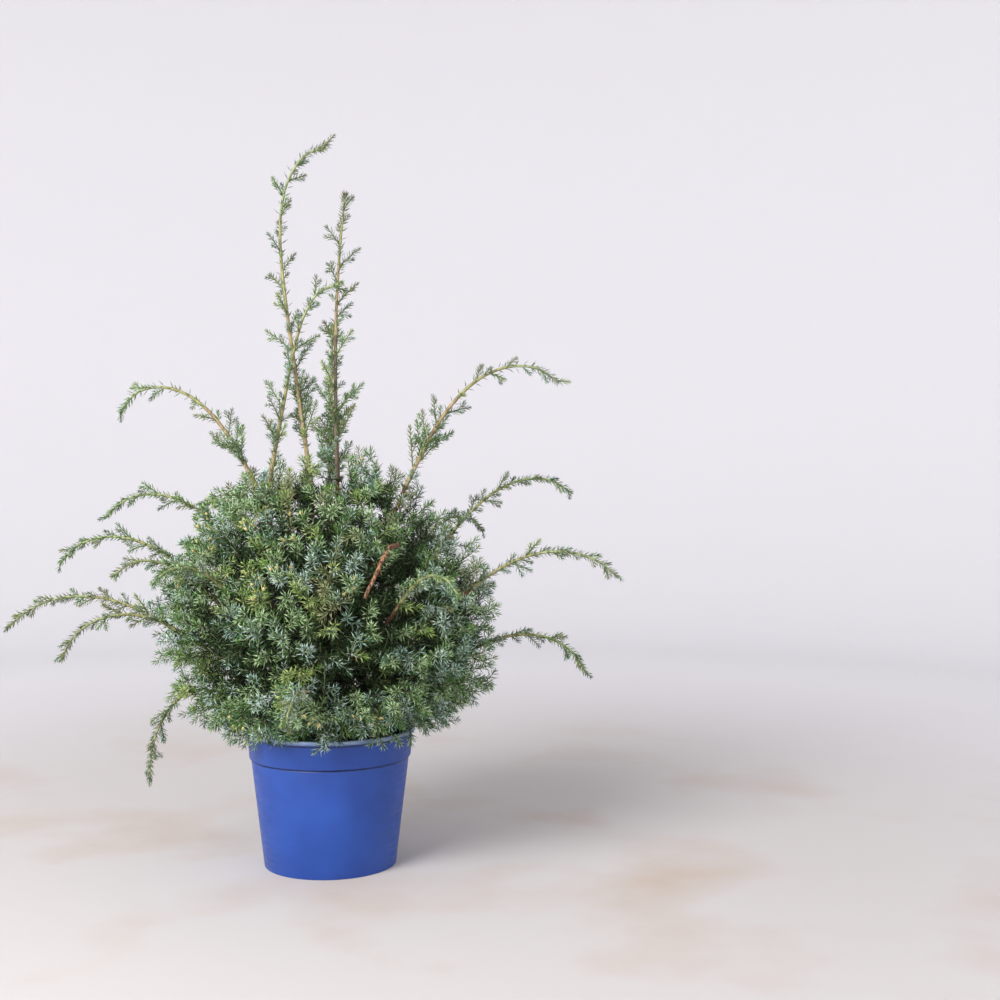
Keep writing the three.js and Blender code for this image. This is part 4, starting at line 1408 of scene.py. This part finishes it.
def twig_wood(name, colour):
    """Skin of a thin twig: plain in colour at this size, and rather dull."""
    material, _ = finish(name, base_color=linear(colour), roughness=0.65, ior=1.45)
    return material


def stem_wood(name, dark, light):
    """Smooth young bark of a leading shoot: fine lengthwise streaks of two shades, a faint gloss."""
    material, shader = finish(name, roughness=0.55, ior=1.45)
    place = add(material, "ShaderNodeTexCoord", {}, {}).outputs["Object"]
    drawn = add(material, "ShaderNodeMapping", {}, {"Vector": place, "Scale": (1, 1, 0.25)})
    streaks = add(material, "ShaderNodeTexNoise", {}, {
        "Vector": drawn.outputs["Vector"], "Scale": per(2.2), "Detail": 4, "Roughness": 0.6,
    })
    worked(material, shader, streaks.outputs["Fac"], (0.36, 0.66), (dark, light), 0.5, 0.2)
    return material


WOODS = {
    "tan_stem": stem_wood("tan_stem", "#736447", "#AD9A70"),
    "brown_stem": stem_wood("brown_stem", "#473C2F", "#766550"),
    "olive_stem": stem_wood("olive_stem", "#6E6C42", "#A3A06C"),
    "green_stem": stem_wood("green_stem", "#6F7D52", "#A0A877"),
}
# brown_twigs is partly the inner wood's own brown and partly painted shade: it is made dark because
# that wood stands deep in the crown.
TWIG_TINTS = {"green_twigs": "#748459", "brown_twigs": "#453A2A"}
TWIG_WOODS = {name: twig_wood(name, colour) for name, colour in TWIG_TINTS.items()}
print("woods", *WOODS, *TWIG_WOODS)

# %% Stems and twigs of the shoots
# The woods of a shoot from its foot to its tip.
SHOOT_WOODS = {
    "shoot_top": ("tan_stem", "tan_stem", "olive_stem", "green_stem"),
    "shoot_top_second": ("brown_stem", "brown_stem", "tan_stem", "olive_stem"),
    "shoot_left_arch": ("tan_stem", "tan_stem", "olive_stem", "green_stem"),
    "shoot_left_upright": ("tan_stem", "olive_stem", "olive_stem", "green_stem"),
    "shoot_right_arch": ("tan_stem", "tan_stem", "olive_stem", "green_stem"),
    "shoot_back_high": ("brown_stem", "tan_stem", "olive_stem", "green_stem"),
}
OTHER_WOODS = ("olive_stem", "olive_stem", "green_stem", "green_stem")
STEM = {"wand": 2.3, "other": 1.6, "thin": 1.0, "sides": 8}
TWIG_SIDES = 3
# Orders of the shoots' twigs, with their radius at the root and at the tip.
SHOOT_TWIGS = (
    (main_lines, 0.95, 0.5), (spur_lines, 0.65, 0.4), (fine_lines, 0.5, 0.35),
    (foot_lines, 0.85, 0.45), (foot_side_lines, 0.45, 0.35),
)


def shoot_stems():
    """The shoots' stems for twig_mesh: tubes whose wood changes from foot to tip."""
    batches, order = [], list(WOODS)
    for name, line in SHOOT_LINES.items():
        fine = smooth(line)[None]
        woods = SHOOT_WOODS.get(name, OTHER_WOODS)
        part = np.arange(fine.shape[1] - 1) * len(woods) // (fine.shape[1] - 1)
        look = np.array([order.index(wood) for wood in woods])[part]
        batches.append((fine, STEM["wand" if name in WANDS else "other"], STEM["thin"], look))
    return batches


stem_mesh = twig_mesh("shoot_stems", shoot_stems(), STEM["sides"])
stem_mesh.shade_smooth()
piece("shoot_stems", stem_mesh, list(WOODS.values()), SHOOT_NODES)
shoot_twig_mesh = twig_mesh("shoot_twigs", [(*order, 0) for order in SHOOT_TWIGS], TWIG_SIDES)
piece("shoot_twigs", shoot_twig_mesh, [TWIG_WOODS["green_twigs"]], SHOOT_NODES)

# %% Twigs of the crown
MASS_NODES = [name for name, _ in MASSES]
CROWN_WOODS = [TWIG_WOODS["brown_twigs"], TWIG_WOODS["green_twigs"]]
# Radius of a spray that carries one tip, how it grows with their number, and its limits.
SPRAY_THICK = {"one": 0.42, "power": 0.36, "least": 0.5, "most": 1.4}
# Radius at the tip of a spray, and at the root and tip of a side twig and of a mass's stem.
SPRAY_TIP, SIDE_THICK, MASS_STEM_THICK = 0.42, (0.48, 0.35), (2.0, 1.6)
# A spray is brown wood in its first two steps and green in its last two.
SPRAY_LOOKS = (0, 0, 1, 1)
stem_lines = np.array([mixed(a, b, np.linspace(0, 1, TWIG_STEPS + 1)[:, None]) for a, b in STEMS])
spray_thick = np.clip(
    SPRAY_THICK["one"] * spray_load ** SPRAY_THICK["power"], SPRAY_THICK["least"], SPRAY_THICK["most"]
)


def crown_twig_mesh(name, dense):
    """Twigs of the masses with the stems that they hang on, or the twigs in the shoots' spaces."""
    sprays, sides = (spray_owner >= DENSE_FROM) == dense, (side_owner >= DENSE_FROM) == dense
    batches = [
        (spray_lines[sprays], spray_thick[sprays], SPRAY_TIP, SPRAY_LOOKS),
        (side_lines[sides][:, ::2], *SIDE_THICK, 1),
    ]
    if dense:
        batches.append((stem_lines, *MASS_STEM_THICK, 0))
    return twig_mesh(name, batches, TWIG_SIDES)


piece("crown_twigs", crown_twig_mesh("crown_twigs", True), CROWN_WOODS, MASS_NODES)
piece("collar_twigs", crown_twig_mesh("collar_twigs", False), CROWN_WOODS, SHOOT_NODES)

# %% [markdown]
# ## A dead twig and the buds
#
# What makes a plant look grown is what went wrong on it. One twig in front has died back to a
# peeling, red-brown stick, and small cones of pollen scales sit at the ends of many sprays like
# yellow-brown beads. The stick is a limb like the boughs, from the wood that is nearest to it. A
# bead is a drawn-out sphere of few faces, because there are many and each is some 4 mm long.

# %% Model the dead twig
# It starts on wood that is at least so far inside and, as distances count more to the sides than
# inwards, straight behind it.
DEAD_TWIG = {
    "from": (66, -123, 305), "to": (48, -151, 264), "bow": 1.5, "crook": 1.1, "crook_turns": 9,
    "thick": 2.3, "thin": 1.5, "rings": 30, "root_rings": 10, "sides": 14,
    "straight_in": (3, 1, 3), "inside": 12,
}
# Stubs: at which share of the way, how long, and the turn about the twig.
STUBS = ((0.3, 8, 40), (0.45, 6, 200), (0.62, 9, 330), (0.8, 5, 120))
STUB = {"thick": 0.6, "thin": 0.25, "rings": 5, "angle": 52.0}


def dead_twig():
    """A stick that died back, which starts on a twig behind it, and the stubs along it."""
    top, end = np.array(DEAD_TWIG["from"], float), np.array(DEAD_TWIG["to"], float)
    down = unit(end - top)
    away = spray_lines[:, 1:3].reshape(-1, 3) - top
    cost = np.linalg.norm(away * DEAD_TWIG["straight_in"], axis=1)
    root = top + away[np.where(away[:, 1] > DEAD_TWIG["inside"], cost, np.inf).argmin()]
    share = np.linspace(0, 1, DEAD_TWIG["rings"])[:, None]
    line = mixed(top, end, share) + UP * DEAD_TWIG["bow"] * np.sin(share * math.pi)
    crook = DEAD_TWIG["crook"] * np.sin(share * DEAD_TWIG["crook_turns"]) * share
    line += np.cross(down, UP) * crook
    inner = mixed(root, top, np.linspace(0, 1, DEAD_TWIG["root_rings"])[:-1, None])
    line = np.concatenate([inner, line])
    limbs = [(line, np.linspace(DEAD_TWIG["thick"], DEAD_TWIG["thin"], len(line)))]
    for at, long, turn in STUBS:
        way = leaning(down[None], np.array([STUB["angle"]]), np.array([float(turn)]))[0]
        stub = mixed(top, end, at) + way * np.linspace(0, long, STUB["rings"])[:, None]
        limbs.append((stub, np.linspace(STUB["thick"], STUB["thin"], STUB["rings"])))
    return limbs


dead_mesh = bark_mesh("dead_twig", dead_twig(), DEAD_TWIG["sides"])
dead_bark = bark("dead_bark", "#3A2216", "#A97C5B", 0.44, 0.62)
piece("dead_twig", dead_mesh, [dead_bark], MASS_NODES)

# %% Model the buds
# How deep they may be, how many groups hang in the front's upper left, between the two corners,
# and elsewhere, how many buds a group has, and how large they are.
BUDS = {
    "seed": 12, "near_surface": 20, "front_groups": 11, "low": (-130, -170, 255),
    "high": (-5, -10, 330), "other_groups": 9, "group": (2, 5), "size": (1.3, 1.9), "long": 1.35,
    "around": 7, "rings": 5,
}


def bud_places(chance):
    """Tips of sprays in small groups, and their directions: most in the front's upper left."""
    lines = np.concatenate([spray_lines, side_lines])
    lines = lines[outside_crown(lines[:, -1]) > -BUDS["near_surface"]]
    tips = lines[:, -1]
    inside = ((tips > BUDS["low"]) & (tips < BUDS["high"])).all(1)
    middles = np.concatenate([
        chance.choice(np.flatnonzero(inside), BUDS["front_groups"], replace=False),
        chance.choice(np.flatnonzero(~inside), BUDS["other_groups"], replace=False),
    ])
    chosen = set()
    for middle in middles:
        nearest = np.linalg.norm(tips - tips[middle], axis=1).argsort()
        chosen.update(nearest[: chance.integers(*BUDS["group"])].tolist())
    chosen = lines[sorted(chosen)]
    return chosen[:, -1], unit(chosen[:, -1] - chosen[:, -2])


def bud_mesh(places, ways):
    chance = np.random.default_rng(BUDS["seed"] + 1)
    bm = bmesh.new()
    for place, way in zip(places, ways):
        turned = Vector(way).to_track_quat("Z", "Y").to_matrix().to_4x4()
        stretched = turned @ Matrix.Diagonal((1, 1, BUDS["long"], 1))
        bmesh.ops.create_uvsphere(
            bm, u_segments=BUDS["around"], v_segments=BUDS["rings"],
            radius=chance.uniform(*BUDS["size"]) * MM,
            matrix=Matrix.Translation(Vector(place) * MM) @ stretched,
        )
    mesh = mesh_from("pollen_buds", bm)
    mesh.shade_smooth()
    return mesh


bud_spots = bud_places(np.random.default_rng(BUDS["seed"]))
pollen_scales = stem_wood("pollen_scales", "#857A4C", "#CDBF88")
piece("pollen_buds", bud_mesh(*bud_spots), [pollen_scales], MASS_NODES)
print("buds", len(bud_spots[0]))

# %% [markdown]
# ## Needles
#
# A juniper's needles are stiff awls about 8 mm long, in whorls of three that close up towards a
# twig's tip. The side that faces the tip has a pale waxy bloom, and the keeled back is green: that
# is why the plant looks blue from the front of each spray and green from behind it. Each needle is
# six triangles: two on the bloomed face and four on the keel. Whole twigs share one tint, dealt
# out by chance, because a plant's sprays differ in age and light far more than the needles on one
# spray do.

# %% Tints of the needles
# Bloomed face and keel of each tint.
TINTS = {
    "blue": ("#C6DED2", "#36602E"),
    "deep": ("#A8C9B6", "#2A4E1E"),
    "green": ("#B6D29C", "#406F20"),
    "fresh": ("#BCCD80", "#60882F"),
    "bronze": ("#A08558", "#6C5030"),
    "shaded": ("#375026", "#192E0E"),
    "grey": ("#AEBBA9", "#57674B"),
    "olive": ("#A6AB7C", "#626A3A"),
}
TINT_NAMES = list(TINTS)
# Shares of the tints in the low and the high part of the crown and on the shoots.
LOW_MIX = {"blue": 0.26, "deep": 0.27, "green": 0.385, "fresh": 0.085}
# The high mix is yellower and paler than the low one: partly young growth, and partly painted light
# where light comes through the top of the crown from behind.
HIGH_MIX = {"blue": 0.08, "deep": 0.13, "green": 0.43, "fresh": 0.17, "olive": 0.19}
SHOOT_MIX = {
    "blue": 0.16, "deep": 0.14, "green": 0.18, "fresh": 0.07, "bronze": 0.005, "grey": 0.265,
    "olive": 0.18,
}
# Height at which the high mix starts to replace the low one, and at which it has done so.
HIGH = {"from": 230, "all": 350}
# The same for the depth inside the crown at which twigs are in the shaded tint.
SHADED = {"from": 18, "all": 42}
# Share of the twigs that have the tint of the twig they grow on.
KEPT_TINT = 0.7


def needle_finish(name, colour):
    """A needle's waxy skin: plain in colour, with a soft gloss."""
    material, _ = finish(name, base_color=linear(colour), roughness=0.5, ior=1.45)
    return material


NEEDLE_FINISHES = {
    name: [needle_finish(f"{name}_bloom", bloom), needle_finish(f"{name}_keel", keel)]
    for name, (bloom, keel) in TINTS.items()
}


def dealt(chance, mix, count):
    return chance.choice([TINT_NAMES.index(name) for name in mix], size=count, p=list(mix.values()))


def dealt_by_height(chance, lines):
    """Tints of twigs by the mix of the low or of the high part of the crown."""
    high = np.clip((lines[:, -1, 2] - HIGH["from"]) / (HIGH["all"] - HIGH["from"]), 0, 1)
    low_tints, high_tints = dealt(chance, LOW_MIX, len(lines)), dealt(chance, HIGH_MIX, len(lines))
    return np.where(chance.random(len(lines)) < high, high_tints, low_tints)


def handed_on(chance, own, tints, parent):
    """Tints of side twigs: mostly their parents', and the rest their own."""
    return np.where(chance.random(len(parent)) < KEPT_TINT, tints[parent], own)


def shaded(chance, tints, lines):
    """Twigs deep inside the crown are mostly in the shaded tint."""
    depth = -outside_crown(lines[:, -1])
    share = np.clip((depth - SHADED["from"]) / (SHADED["all"] - SHADED["from"]), 0, 1)
    return np.where(chance.random(len(lines)) < share, TINT_NAMES.index("shaded"), tints)


print("tints", *NEEDLE_FINISHES)

# %% Grow the needles
# Whorls crowd towards a twig's tip, and the turn between them is half that between their needles.
# A needle is rolled about itself and leans by chance, and its base is sunk in the wood.
NEEDLE = {
    "uneven": 0.14, "roll": 46, "uneven_turn": 15, "uneven_angle": 8, "sunk": 0.6, "first": 0.62,
    "crowded": 1.28, "tip_gap": 0.15, "covered": 0.96, "whorl": (0, 120, 240), "next_whorl": 60.0,
    "next_twig": 47,
}
# Needles of the crown stand out as stars, and those of the shoots lie close along the wood. Length,
# half width, distance between whorls, and by the distance from a twig's tip how far they open.
STARS = {
    "long": 8.6, "half": 0.52, "spacing": 2.45, "opening": ([0, 1.5, 5, 10, 30], [18, 38, 52, 60, 64]),
}
CLOSE = {
    "long": 6.0, "half": 0.5, "spacing": 2.1, "opening": ([0, 2, 6, 14, 40], [16, 34, 44, 48, 50]),
}
LONE = {"long": 7.6, "half": 0.6, "spacing": 5.6, "opening": ([0, 30], [44, 54])}
# By the distance from a twig's tip: share of their full length that needles have.
GROWTH = ([0, 3, 8], [0.62, 0.86, 1.0])


def needles_on(chance, lines, thick, needled, kind, sparse=1.0, wide=1.0):
    """Base, heading, face, length, half width and twig of each needle on the outer parts of twigs."""
    length = lengths_of(lines)
    spacing = np.broadcast_to(kind["spacing"] * sparse, length.shape)
    whorls = np.round(np.minimum(needled, length * NEEDLE["covered"]) / spacing)
    twig, number = numbered(np.maximum(1, whorls).astype(int))
    back = NEEDLE["first"] * (number + NEEDLE["tip_gap"]) ** NEEDLE["crowded"] * spacing[twig]
    share = np.clip(1 - back / length[twig], 0, 1)
    axis, middle = along_line(lines[twig], share), on_line(lines[twig], share)
    turn = (NEEDLE["next_whorl"] * number + NEEDLE["next_twig"] * twig)[:, None] + NEEDLE["whorl"]
    turn += chance.uniform(-NEEDLE["uneven_turn"], NEEDLE["uneven_turn"], turn.shape)
    angle = chance.uniform(-NEEDLE["uneven_angle"], NEEDLE["uneven_angle"], turn.shape)
    angle += np.interp(back, *kind["opening"])[:, None]
    long = np.interp(back, *GROWTH)[:, None] * kind["long"]
    long = long * chance.uniform(1 - NEEDLE["uneven"], 1 + NEEDLE["uneven"], turn.shape)
    axis = np.repeat(axis, 3, axis=0)
    heading = leaning(axis, angle.ravel(), turn.ravel())
    outward = unit(heading - axis * (heading * axis).sum(-1, keepdims=True))
    face = unit(axis - heading * (axis * heading).sum(-1, keepdims=True))
    roll = np.radians(chance.normal(0, NEEDLE["roll"], len(face)))[:, None]
    face = face * np.cos(roll) + np.cross(heading, face) * np.sin(roll)
    base = np.repeat(middle, 3, axis=0) + outward * thick * NEEDLE["sunk"]
    twig = np.repeat(twig, 3)
    half = kind["half"] * np.broadcast_to(wide, len(lines))[twig]
    return base, heading, face, long.ravel(), half, twig


print("open at the tip and 10 mm from it", [float(np.interp(at, *STARS["opening"])) for at in (0, 10)])

# %% Meshes of needles
# A needle's depth at the keel, where along it it is widest, and how far its tip bends back.
NEEDLE_SHAPE = {"keel": 0.55, "widest": 0.38, "recurve": 0.04}
# Its corners, and its faces: two with the bloom, and four of the keel.
NEEDLE_CORNERS = 5
ROOT, LEFT, RIGHT, BACK, END = range(NEEDLE_CORNERS)
NEEDLE_FACES = np.array([
    (ROOT, RIGHT, END), (ROOT, END, LEFT),
    (ROOT, BACK, RIGHT), (RIGHT, BACK, END), (ROOT, LEFT, BACK), (LEFT, END, BACK),
])
NEEDLE_LOOKS = (0, 0, 1, 1, 1, 1)


def needle_mesh(name, base, heading, face, long, half):
    across = np.cross(face, heading) * half[:, None]
    widest = base + heading * (long * NEEDLE_SHAPE["widest"])[:, None]
    keel = widest - face * NEEDLE_SHAPE["keel"]
    tip = base + heading * long[:, None] - face * (long * NEEDLE_SHAPE["recurve"])[:, None]
    points = np.stack([base, widest + across, widest - across, keel, tip], axis=1).reshape(-1, 3)
    first = np.arange(len(base))[:, None, None] * NEEDLE_CORNERS
    faces = (first + NEEDLE_FACES).reshape(-1, 3)
    return mesh_of(name, points, [faces], np.tile(NEEDLE_LOOKS, len(base)))


def show_needles(group, batches, nodes):
    """A piece of needles for each tint of a group of twigs."""
    needles = [np.concatenate([made[i] for made, _ in batches]) for i in range(5)]
    tint = np.concatenate([tints[made[5]] for made, tints in batches])
    for number, name in enumerate(TINT_NAMES):
        some = tint == number
        if some.any():
            mesh = needle_mesh(f"{group}_{name}", *[values[some] for values in needles])
            piece(f"{group}_{name}", mesh, NEEDLE_FINISHES[name], nodes)
    print(group, "needles", len(tint))


print("triangles of a needle", len(NEEDLE_FACES))

# %% Needles of the crown
# How far sprays and side twigs are needled from their tips, and between which depths the whorls get
# farther apart and the needles wider, by those factors.
NEEDLED = {"spray": 27, "side": 30, "inner_depth": (28, 50), "inner_sparse": 1.7, "inner_wide": 1.9}
# Radius of the wood that needles stand on.
SPRAY_WOOD, TWIG_WOOD = 0.5, 0.6
LOWER_MASSES = TIERS["foliage_skirt"][0] + TIERS["foliage_waist"][0]
needle_chance = np.random.default_rng(5)
spray_tint = dealt_by_height(needle_chance, spray_lines)
for twig in np.flatnonzero(spray_parent >= 0):
    if needle_chance.random() < KEPT_TINT:
        spray_tint[twig] = spray_tint[spray_parent[twig]]
side_own = dealt_by_height(needle_chance, side_lines)
side_tint = handed_on(needle_chance, side_own, spray_tint, side_parent)


def crown_batch(chance, lines, tints, needled):
    """Needles and tints of an order of the crown's twigs: fewer, wider and darker inside."""
    depth = -outside_crown(lines[:, -1])
    sparse = np.interp(depth, NEEDLED["inner_depth"], [1, NEEDLED["inner_sparse"]])
    wide = np.interp(depth, NEEDLED["inner_depth"], [1, NEEDLED["inner_wide"]])
    needles = needles_on(chance, lines, SPRAY_WOOD, needled, STARS, sparse, wide)
    return needles, shaded(chance, tints, lines)


# Groups of twigs: the owners from and to which they are, the nodes they stand for, and their slot.
HIGH_FROM = DENSE_FROM + LOWER_MASSES
CROWN_GROUPS = {
    "lower_crown": (DENSE_FROM, HIGH_FROM, MASS_NODES[:LOWER_MASSES], "crown_needles"),
    "upper_crown": (HIGH_FROM, len(SITE_LINES), MASS_NODES[LOWER_MASSES:], "crown_needles"),
    "shoot_collars": (0, DENSE_FROM, SHOOT_NODES, "shoot_needles"),
}
for group, (first, last, nodes, slot) in CROWN_GROUPS.items():
    batches = []
    for lines, owner, tints, order in (
        (spray_lines, spray_owner, spray_tint, "spray"), (side_lines, side_owner, side_tint, "side"),
    ):
        here = (owner >= first) & (owner < last)
        batches.append(crown_batch(needle_chance, lines[here], tints[here], NEEDLED[order]))
    show_needles(group, batches, nodes)

# %% Needles on the shoots' stems
# How much of a stem is needled sparsely, how far it is needled closely from its tip, in millimetres
# on a wand and as a share on the others, and the shoot whose very tip is a bronzed star.
SHOOT_NEEDLES = {
    "covered": 0.97, "wand_tip": 26, "tip": 0.5, "sparse": 1.8, "star": 9,
    "bronzed": "shoot_top_second",
}
# Radius of the wood at the needles: low on a wand, low on another shoot, and at their tips.
WAND_WOOD, SHOOT_WOOD, TIP_WOOD = 1.8, 1.5, 0.9


def stem_batches(chance):
    """Needles on the shoots' own stems: sparse below and close at the tip."""
    made, bronze = [], np.array([TINT_NAMES.index("bronze")])
    for name, line in SHOOT_LINES.items():
        fine = smooth(line)[None]
        length = SHOOT_LENGTHS[name]
        tint = dealt(chance, SHOOT_MIX, 1)
        low = length * SHOOT_NEEDLES["covered"]
        if name in WANDS:
            made.append((needles_on(chance, fine, WAND_WOOD, low, LONE), tint))
            close = SHOOT_NEEDLES["wand_tip"]
        else:
            sparse = SHOOT_NEEDLES["sparse"]
            made.append((needles_on(chance, fine, SHOOT_WOOD, low, CLOSE, sparse), tint))
            close = length * SHOOT_NEEDLES["tip"]
        made.append((needles_on(chance, fine, TIP_WOOD, close, CLOSE), tint))
        if name == SHOOT_NEEDLES["bronzed"]:
            made.append((needles_on(chance, fine, TIP_WOOD, SHOOT_NEEDLES["star"], STARS), bronze))
    return made


print("sparsely needled wands", len(WANDS), "other shoots", len(SHOOT_LINES) - len(WANDS))

# %% Needles of the leading shoots
# Side twigs are needled from their tips to their roots.
WHOLE = 60
main_tint = dealt(needle_chance, SHOOT_MIX, len(main_lines))
spur_tint = dealt(needle_chance, SHOOT_MIX, len(spur_lines))
fine_own = dealt(needle_chance, SHOOT_MIX, len(fine_lines))
fine_tint = handed_on(needle_chance, fine_own, main_tint, fine_parent)
shoot_batches = [
    (needles_on(needle_chance, lines, TWIG_WOOD, WHOLE, CLOSE), tints)
    for lines, tints in ((main_lines, main_tint), (spur_lines, spur_tint), (fine_lines, fine_tint))
]
foot_tint = dealt(needle_chance, HIGH_MIX, len(foot_lines))
foot_side_own = dealt(needle_chance, HIGH_MIX, len(foot_side_lines))
foot_side_tint = handed_on(needle_chance, foot_side_own, foot_tint, foot_parent)
for lines, wood, order, tints in (
    (foot_lines, TWIG_WOOD, "spray", foot_tint), (foot_side_lines, SPRAY_WOOD, "side", foot_side_tint),
):
    shoot_batches.append((needles_on(needle_chance, lines, wood, NEEDLED[order], CLOSE), tints))
shoot_batches += stem_batches(needle_chance)
show_needles("shoot_needles", shoot_batches, SHOOT_NODES)

# %% [markdown]
# ## Backdrop and light
#
# The picture is taken against a pale wall that runs down into a pale floor, in soft light from
# above and from the left. A studio gets that with a sheet that curves from the floor up into a
# wall, so no line shows where they meet: here a spun one, which also serves a camera on any side.
# A large lamp close by is what makes light soft, and lamps are hidden from the camera itself.

# %% Backdrop
# Distances from the plant between which the stains end, and between which the floor's colour turns
# into the wall's: partly the wall's own paler colour and partly painted light on the far floor,
# where less light falls.
STUDIO = {
    "floor_radius": 1700, "curve": 700, "height": 2000, "steps": 128, "arc": 20,
    "floor": "#C6C1BF", "stains": "#B9A593", "stained": (350, 1100),
    "wall": "#E6E4E7", "wall_and_painted_light_from": (400, 1500),
}


def pale_board():
    """Painted board: nearly white far away, greyer and stained with peat round the pot; the paler far
    part is partly painted light.
    """
    material, shader = finish("painted_board", roughness=0.85, ior=1.45)
    place = add(material, "ShaderNodeTexCoord", {}, {}).outputs["Object"]
    stains = add(material, "ShaderNodeTexNoise", {}, {"Vector": place, "Scale": per(220), "Detail": 6})
    floor = add(material, "ShaderNodeValToRGB", {}, {"Fac": stains.outputs["Fac"]})
    set_stops(floor, (0.5, 0.85), (STUDIO["floor"], STUDIO["stains"]))
    away = add(material, "ShaderNodeVectorMath", {"operation": "LENGTH"}, {"Vector": place})
    colour = floor.outputs["Color"]
    # The second mix makes the floor paler away from the pot: partly the wall's own colour and partly
    # painted light where less light falls.
    for (near, far), change, laid in (
        (STUDIO["stained"], "LINEAR", "floor"), (STUDIO["wall_and_painted_light_from"], "SMOOTHSTEP", "wall"),
    ):
        share = add(material, "ShaderNodeMapRange", {"interpolation_type": change}, {
            "Value": away.outputs["Value"], "From Min": near * MM, "From Max": far * MM,
        })
        mix = add(material, "ShaderNodeMix", {"data_type": "RGBA"}, {
            MIX["share"]: share.outputs["Result"], MIX["below"]: colour,
            MIX["above"]: linear(STUDIO[laid]),
        })
        colour = mix.outputs[MIX["colour"]]
    drive(material, shader, "Base Color", colour)
    return material


def set_backdrop():
    turn = np.linspace(0, math.pi / 2, STUDIO["arc"])
    out, curve = STUDIO["floor_radius"], STUDIO["curve"]
    profile = [(0, 0), *zip(out + curve * np.sin(turn), curve * (1 - np.cos(turn)))]
    bm = spun([*profile, (out + curve, STUDIO["height"])], STUDIO["steps"])
    bmesh.ops.reverse_faces(bm, faces=bm.faces[:])
    mesh = mesh_from("backdrop", bm)
    mesh.shade_smooth()
    mesh.materials.append(pale_board())
    backdrop = in_scene("backdrop", mesh)
    return backdrop


print("backdrop faces", len(set_backdrop().data.polygons))

# %% Lamps and world
LAMPS = {
    "key": {"place": (-1050, -1550, 1450), "size": 1100, "watts": 67, "colour": "#FFFFFF"},
    "fill": {"place": (1500, -1200, 1000), "size": 1500, "watts": 6, "colour": "#F4F6FF"},
}
LAMP_TARGET = (0, 0, 300)
SKY = {"colour": "#F1F1F4", "strength": 0.57}


def set_lamps():
    for name, lamp in LAMPS.items():
        light = in_scene(name, bpy.data.lights.new(name, "AREA"))
        light.data.size, light.data.energy = lamp["size"] * MM, lamp["watts"]
        light.data.color = linear(lamp["colour"])[:3]
        aim(light, lamp["place"], LAMP_TARGET)
        light.visible_camera = False


def set_world():
    world = bpy.data.worlds.new("studio")
    world.use_nodes = True
    sky = world.node_tree.nodes["Background"]
    sky.inputs["Color"].default_value = linear(SKY["colour"])
    sky.inputs["Strength"].default_value = SKY["strength"]
    bpy.context.scene.world = world
    bpy.context.scene.view_settings.view_transform = "Standard"


set_lamps()
set_world()
print("lamps", *LAMPS)
